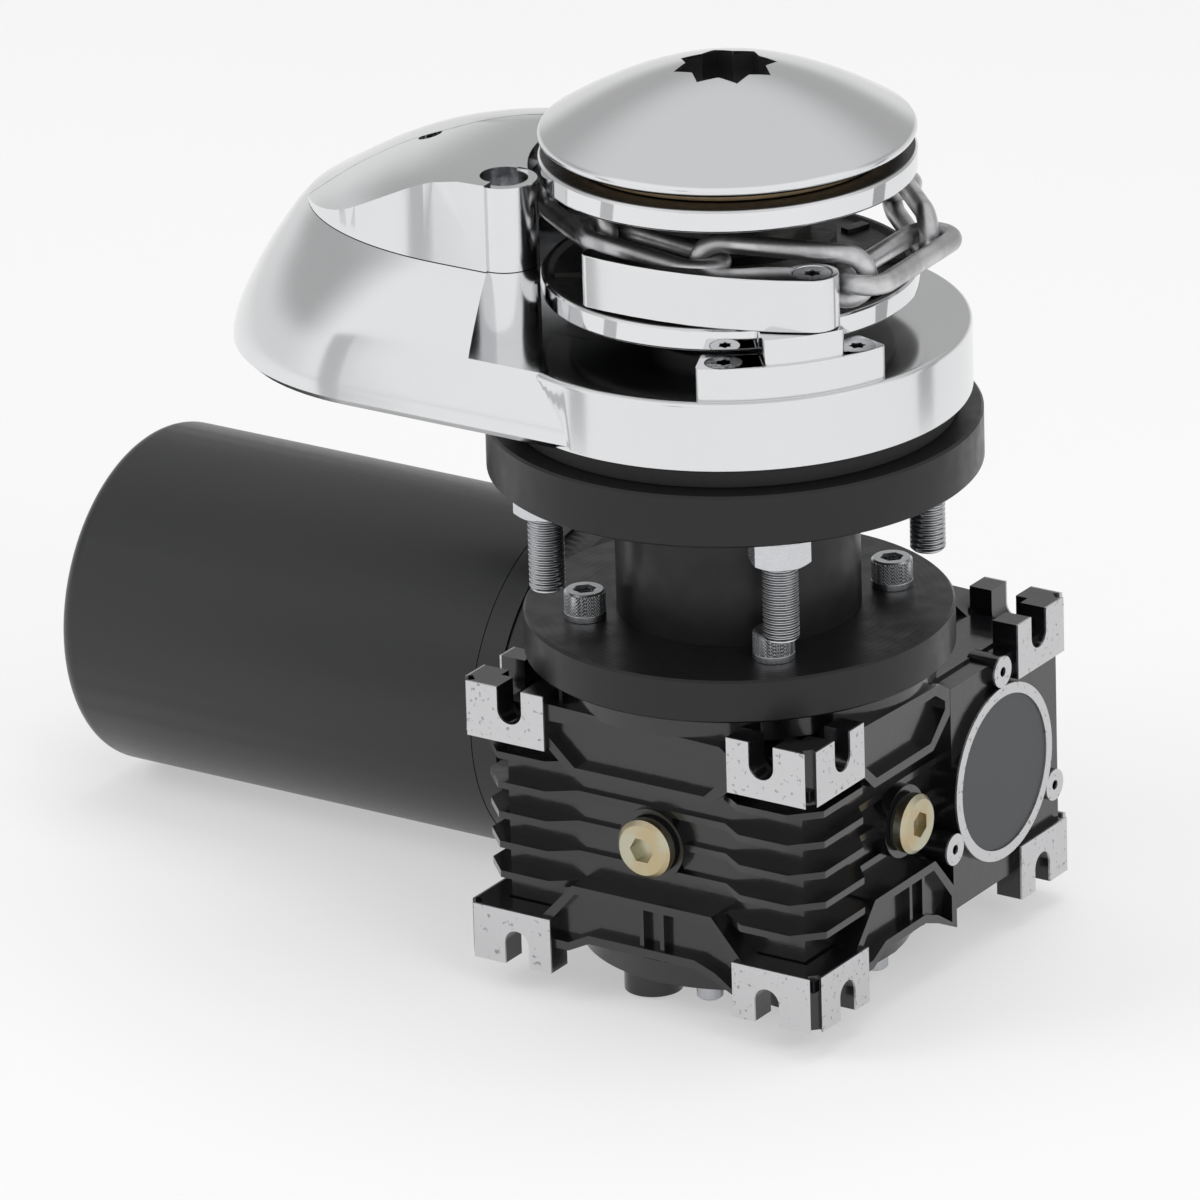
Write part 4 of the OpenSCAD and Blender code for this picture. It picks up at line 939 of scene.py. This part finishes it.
def add_camera(scene):
    """The camera that was fitted to the picture."""
    data = bpy.data.cameras.new("picture_camera")
    data.sensor_width = CAMERA_SENSOR
    data.lens = CAMERA_LENS
    data.clip_end = CAMERA_REACH
    camera = bpy.data.objects.new("picture_camera", data)
    scene.collection.objects.link(camera)
    a, e, r = (math.radians(v) for v in CAMERA_ANGLES)
    right = Vector((math.cos(a), math.sin(a), 0))
    ahead = Vector((-math.sin(a) * math.cos(e), math.cos(a) * math.cos(e), -math.sin(e)))
    up = right.cross(ahead)
    turned_right = right * math.cos(r) + up * math.sin(r)
    turned_up = up * math.cos(r) - right * math.sin(r)
    turn = Matrix((turned_right, turned_up, -ahead)).transposed()
    camera.matrix_world = Matrix.Translation(CAMERA_PLACE) @ turn.to_4x4()
    scene.camera = camera


# Operators

FINE_EDGE = 0.0002
SMALL_EDGE = 0.0003
MIDDLE_EDGE = 0.0004
BROAD_EDGE = 0.0005
CASTING_EDGE = 0.0006
CASTING_SHADE = 30
PLATE_FOOT = 1.2
PLATE_TOP = 1.6
POST_BORE = 8
PIN_BORE = 5.05
NOTCH_RADIUS = 4
NOTCH = (-108, -15)
DOME_STEPS = 40
DOME_POWER = 1.75
SOCKET_DEPTH = 13
CAP_BORE = 10.05
CAP_BORE_DEPTH = 15.4
ARM_CORNER = 3.2
BRACKET_CORNER = 2.2
BRACKET_FOOT_CORNER = 5.0
BRACKET_STEP = 35  # height between the bracket's feet and its raised middle


class WINDLASS_OT_stage(bpy.types.Operator):
    """Floor, lamps and the camera at the picture's viewing angle."""

    bl_idname = "windlass.stage"
    bl_label = "Stage"

    def execute(self, context):
        scene = context.scene
        scene.view_settings.view_transform = "Standard"
        add_floor()
        add_room(scene)
        add_lamps(scene)
        add_cards()
        add_camera(scene)
        return {"FINISHED"}


class WINDLASS_OT_gearbox(bpy.types.Operator):
    """Gear housing with bare milled pads, its covers and its oil plugs."""

    bl_idname = "windlass.gearbox"
    bl_label = "Gearbox"

    def execute(self, context):
        sizes = context.scene.windlass_sizes
        housing = soften(cad_copy("gear_housing"), sizes.casting_edge)
        dress(housing, finish("housing"), "frame", "cast_black", "gear_housing")
        for node, look, slot in (
            ("output_cover", "casting", "cast_black"), ("worm_cap", "cover", "cap_grey"),
            ("oil_plugs", "zinc", "zinc_yellow"), ("plug_seals", "rubber", "rubber_black"),
            ("cover_bolts", "steel", "steel"),
        ):
            piece = soften(cad_copy(node), SMALL_EDGE)
            dress(piece, finish(look), "frame", slot, node)
        return {"FINISHED"}


class WINDLASS_OT_motor(bpy.types.Operator):
    """Motor can with its end ring and adapter."""

    bl_idname = "windlass.motor"
    bl_label = "Motor"

    def execute(self, context):
        for node, look, slot in (
            ("motor_can", "motor", "motor_black"), ("motor_ring", "motor", "motor_black"),
            ("motor_adapter", "motor", "motor_black"), ("terminals", "brass", "brass_plain"),
            ("adapter_screws", "steel", "steel"),
        ):
            piece = smooth(cad_copy(node), CASTING_SHADE)
            dress(piece, finish(look), "frame", slot, node)
        return {"FINISHED"}


class WINDLASS_OT_spool(bpy.types.Operator):
    """Black spool with its studs, nuts, washers, screws and the gasket."""

    bl_idname = "windlass.spool"
    bl_label = "Spool and fasteners"

    def execute(self, context):
        for node, look, slot, width in (
            ("spool", "anodised", "anodised_black", BROAD_EDGE),
            ("gasket", "rubber", "rubber_black", MIDDLE_EDGE),
            ("flange_screws", "knurled", "stainless", FINE_EDGE),
            ("flange_washers", "stainless", "stainless", FINE_EDGE),
            ("stud_nuts", "stainless", "stainless", MIDDLE_EDGE),
            ("stud_washers", "stainless", "stainless", FINE_EDGE),
            ("deck_studs", "thread", "stainless", FINE_EDGE),
        ):
            piece = soften(cad_copy(node), width)
            dress(piece, finish(look), "frame", slot, node)
        return {"FINISHED"}


class WINDLASS_OT_pod(bpy.types.Operator):
    """Chromed base plate with the chain pod, and the pod's swinging lid."""

    bl_idname = "windlass.pod"
    bl_label = "Base, pod and lid"

    def execute(self, context):
        sizes = context.scene.windlass_sizes
        plate_r = sizes.plate_radius / MM
        plate_h = sizes.plate_height / MM

        upper = boolean(dome_loft(), seam_wall(), "INTERSECT")
        lid = upper.copy()
        lid.data = upper.data.copy()
        context.scene.collection.objects.link(lid)
        lid.name = "pod_lid_piece"

        base = body_loft()
        base.name = "base_piece"
        boolean(base, upper, "UNION")
        boolean(base, lid_zone(SEAM_GAP))
        boolean(base, beside_drum(plate_h))
        # The hollow keeps clear of the corner where the post stands
        corner = [(-76, -85), (-30, -85), (-30, -38), (-76, -38)]
        post_root = prism("post_root", corner, 0, SEAM_HEIGHT)
        boolean(base, boolean(pod_hollow(), post_root))
        plate = turned(
            "plate", [(0, 0)] + arc(plate_r - PLATE_FOOT, PLATE_FOOT, PLATE_FOOT, -90, 0, 4)
            + arc(plate_r - PLATE_TOP, plate_h - PLATE_TOP, PLATE_TOP, 0, 90, 5) + [(0, plate_h)])
        boolean(base, plate, "UNION")
        boolean(base, rod("post_low", POST_RADIUS, plate_h - 3, SEAM_HEIGHT, *POST), "UNION")
        ring = (-135, -113, PIPE_RADIUS, PIPE_RADIUS)
        pipe = nose_loft("pipe", [(-2, *ring), (60, *ring)], PIPE_PLACE)
        boolean(pipe, rod("pipe_end", PIPE_RADIUS, -2, 60, PIPE_PLACE, 0), "UNION")
        boolean(base, pipe)
        boolean(base, rod("bush_hole", BUSH_RADIUS, -2, 40))
        soften(base, CASTING_EDGE, 2, CASTING_ANGLE)
        carry_normals(base, smooth(body_loft()), smooth(dome_loft()))
        dress(base, finish("chrome"), "frame", "chrome_plate", "base")

        boolean(lid, lid_zone(0), "INTERSECT")
        boolean(lid, pod_hollow())
        boolean(lid, beside_drum(40))
        boolean(lid, rod("post_high", POST_RADIUS, SEAM_HEIGHT + SEAM_GAP, 79.6, *POST), "UNION")
        boolean(lid, rod("post_bore", POST_BORE, 64, 100, *POST, 64))
        boolean(lid, rod("pin_bore", PIN_BORE, 40, 70, *POST, 48))
        boolean(lid, rod("finger_notch", NOTCH_RADIUS, 50, 100, *NOTCH, 48))
        soften(lid, CASTING_EDGE, 2, CASTING_ANGLE)
        carry_normals(lid, smooth(dome_loft()))
        dress(lid, finish("chrome"), "lid", "chrome_plate", "pod_lid")
        return {"FINISHED"}


class WINDLASS_OT_cap(bpy.types.Operator):
    """Dome cap with its star socket."""

    bl_idname = "windlass.cap"
    bl_label = "Dome cap"

    def execute(self, context):
        sizes = context.scene.windlass_sizes
        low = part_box("dome_cap")[0].z / MM
        driving = (sizes.cap_radius, sizes.cap_edge, sizes.cap_lip, sizes.cap_under)
        radius, edge, lip, under = (v / MM for v in driving)
        wide = low + lip
        high = wide + sizes.cap_rise / MM
        below = [(radius - under + r * under, wide + z * lip) for r, z in arc(0, 0, 1, -90, 0, 12)[:-1]]
        corner = below + arc(radius - edge, wide, edge, 0, 58, 8)
        reach, start = corner[-1]
        dome = []
        for i in range(1, DOME_STEPS + 1):
            share = 1 - i / DOME_STEPS
            dome.append((reach * share, start + (high - start) * (1 - share ** DOME_POWER)))
        cap = turned("dome_cap_piece", [(0, low)] + corner + dome)

        # Two squares, one turned by 45 degrees, make the socket's eight points
        half = sizes.star_width / MM / 2
        inner = half * math.cos(math.radians(45)) / math.cos(math.radians(22.5))
        star = []
        for i in range(16):
            reach = half if i % 2 == 0 else inner
            turn = math.radians(i * 22.5)
            star.append((reach * math.cos(turn), reach * math.sin(turn)))
        boolean(cap, prism("star", star, high - SOCKET_DEPTH, high + 10))
        boolean(cap, rod("cap_bore", CAP_BORE, low - 1, high - CAP_BORE_DEPTH))
        soften(cap, MIDDLE_EDGE, 3, CASTING_ANGLE)
        dress(cap, finish("cap"), "cap", "chrome_plate", "dome_cap")
        return {"FINISHED"}


class WINDLASS_OT_chain_gear(bpy.types.Operator):
    """Chain wheel, cones, chain, pressure arm and its bracket."""

    bl_idname = "windlass.chain_gear"
    bl_label = "Chain gear"

    def execute(self, context):
        for node, look, body, slot, width in (
            ("chain_wheel", "wheel", "wheel", "chrome_wheel", BROAD_EDGE),
            ("lower_cone", "dark_steel", "shaft_line", "steel", SMALL_EDGE),
            ("upper_cone", "brass", "clutch", "brass_plain", SMALL_EDGE),
            ("bracket_screws", "bracket_head", "frame", "stainless", FINE_EDGE),
            ("arm_pin", "pin_head", "frame", "stainless", FINE_EDGE),
            ("lid_pin", "stainless", "frame", "stainless", FINE_EDGE),
        ):
            piece = soften(cad_copy(node), width)
            dress(piece, finish(look), body, slot, node)
        arm = round_corners(cad_copy("pressure_arm"), ARM_CORNER, 0, 100)
        soften(arm, CASTING_EDGE)
        dress(arm, finish("chrome"), "arm", "chrome_plate", "pressure_arm")
        bracket = round_corners(cad_copy("bracket"), BRACKET_CORNER, BRACKET_STEP, 100)
        round_corners(bracket, BRACKET_FOOT_CORNER, 20, BRACKET_STEP)
        soften(bracket, BROAD_EDGE)
        dress(bracket, finish("chrome"), "frame", "chrome_plate", "bracket")
        chain = smooth(cad_copy("chain"))
        dress(chain, finish("galvanised"), "frame", "galvanised", "chain")
        return {"FINISHED"}


class WINDLASS_OT_inner(bpy.types.Operator):
    """Finishes on the shafts, gears, bearings and motor parts inside."""

    bl_idname = "windlass.inner"
    bl_label = "Inner parts"

    def execute(self, context):
        looks = {
            "steel": ("wheel_key", "worm_shaft", "worm_circlip", "main_shaft", "arm_spring", "cone_key"),
            "stainless": ("worm_bearings", "main_bearings", "motor_bearings"),
            "rubber": ("worm_seal", "shaft_seal"),
            "brass": ("worm_wheel", "base_bush"),
            "copper": ("armature", "commutator"),
            "magnet": ("magnets", "brushes"),
            "board": ("brush_plate",),
        }
        for look, nodes in looks.items():
            for node in nodes:
                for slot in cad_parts[node].material_slots:
                    slot.link = "OBJECT"
                    slot.material = finish(look)
        return {"FINISHED"}


class WINDLASS_PT_panel(bpy.types.Panel):
    """Lists the steps and the values behind them."""

    bl_idname = "WINDLASS_PT_panel"
    bl_label = "Windlass"
    bl_space_type = "VIEW_3D"
    bl_region_type = "UI"
    bl_category = "Windlass"

    def draw(self, context):
        for group in (context.scene.windlass_sizes, context.scene.windlass_colours):
            box = self.layout.box()
            for key in group.__annotations__:
                box.prop(group, key)
        for step in STEPS:
            self.layout.operator(step.bl_idname)


STEPS = (
    WINDLASS_OT_stage, WINDLASS_OT_gearbox, WINDLASS_OT_motor, WINDLASS_OT_spool, WINDLASS_OT_pod,
    WINDLASS_OT_cap, WINDLASS_OT_chain_gear, WINDLASS_OT_inner,
)
CLASSES = (WindlassSizes, WindlassColours, *STEPS, WINDLASS_PT_panel)


def register():
    for item in CLASSES:
        bpy.utils.register_class(item)
    bpy.types.Scene.windlass_sizes = bpy.props.PointerProperty(type=WindlassSizes)
    bpy.types.Scene.windlass_colours = bpy.props.PointerProperty(type=WindlassColours)


def unregister():
    del bpy.types.Scene.windlass_colours
    del bpy.types.Scene.windlass_sizes
    for item in reversed(CLASSES):
        bpy.utils.unregister_class(item)


def main():
    register()
    bpy.ops.windlass.stage()
    bpy.ops.windlass.gearbox()
    bpy.ops.windlass.motor()
    bpy.ops.windlass.spool()
    bpy.ops.windlass.pod()
    bpy.ops.windlass.cap()
    bpy.ops.windlass.chain_gear()
    bpy.ops.windlass.inner()


if __name__ == "__main__":
    main()
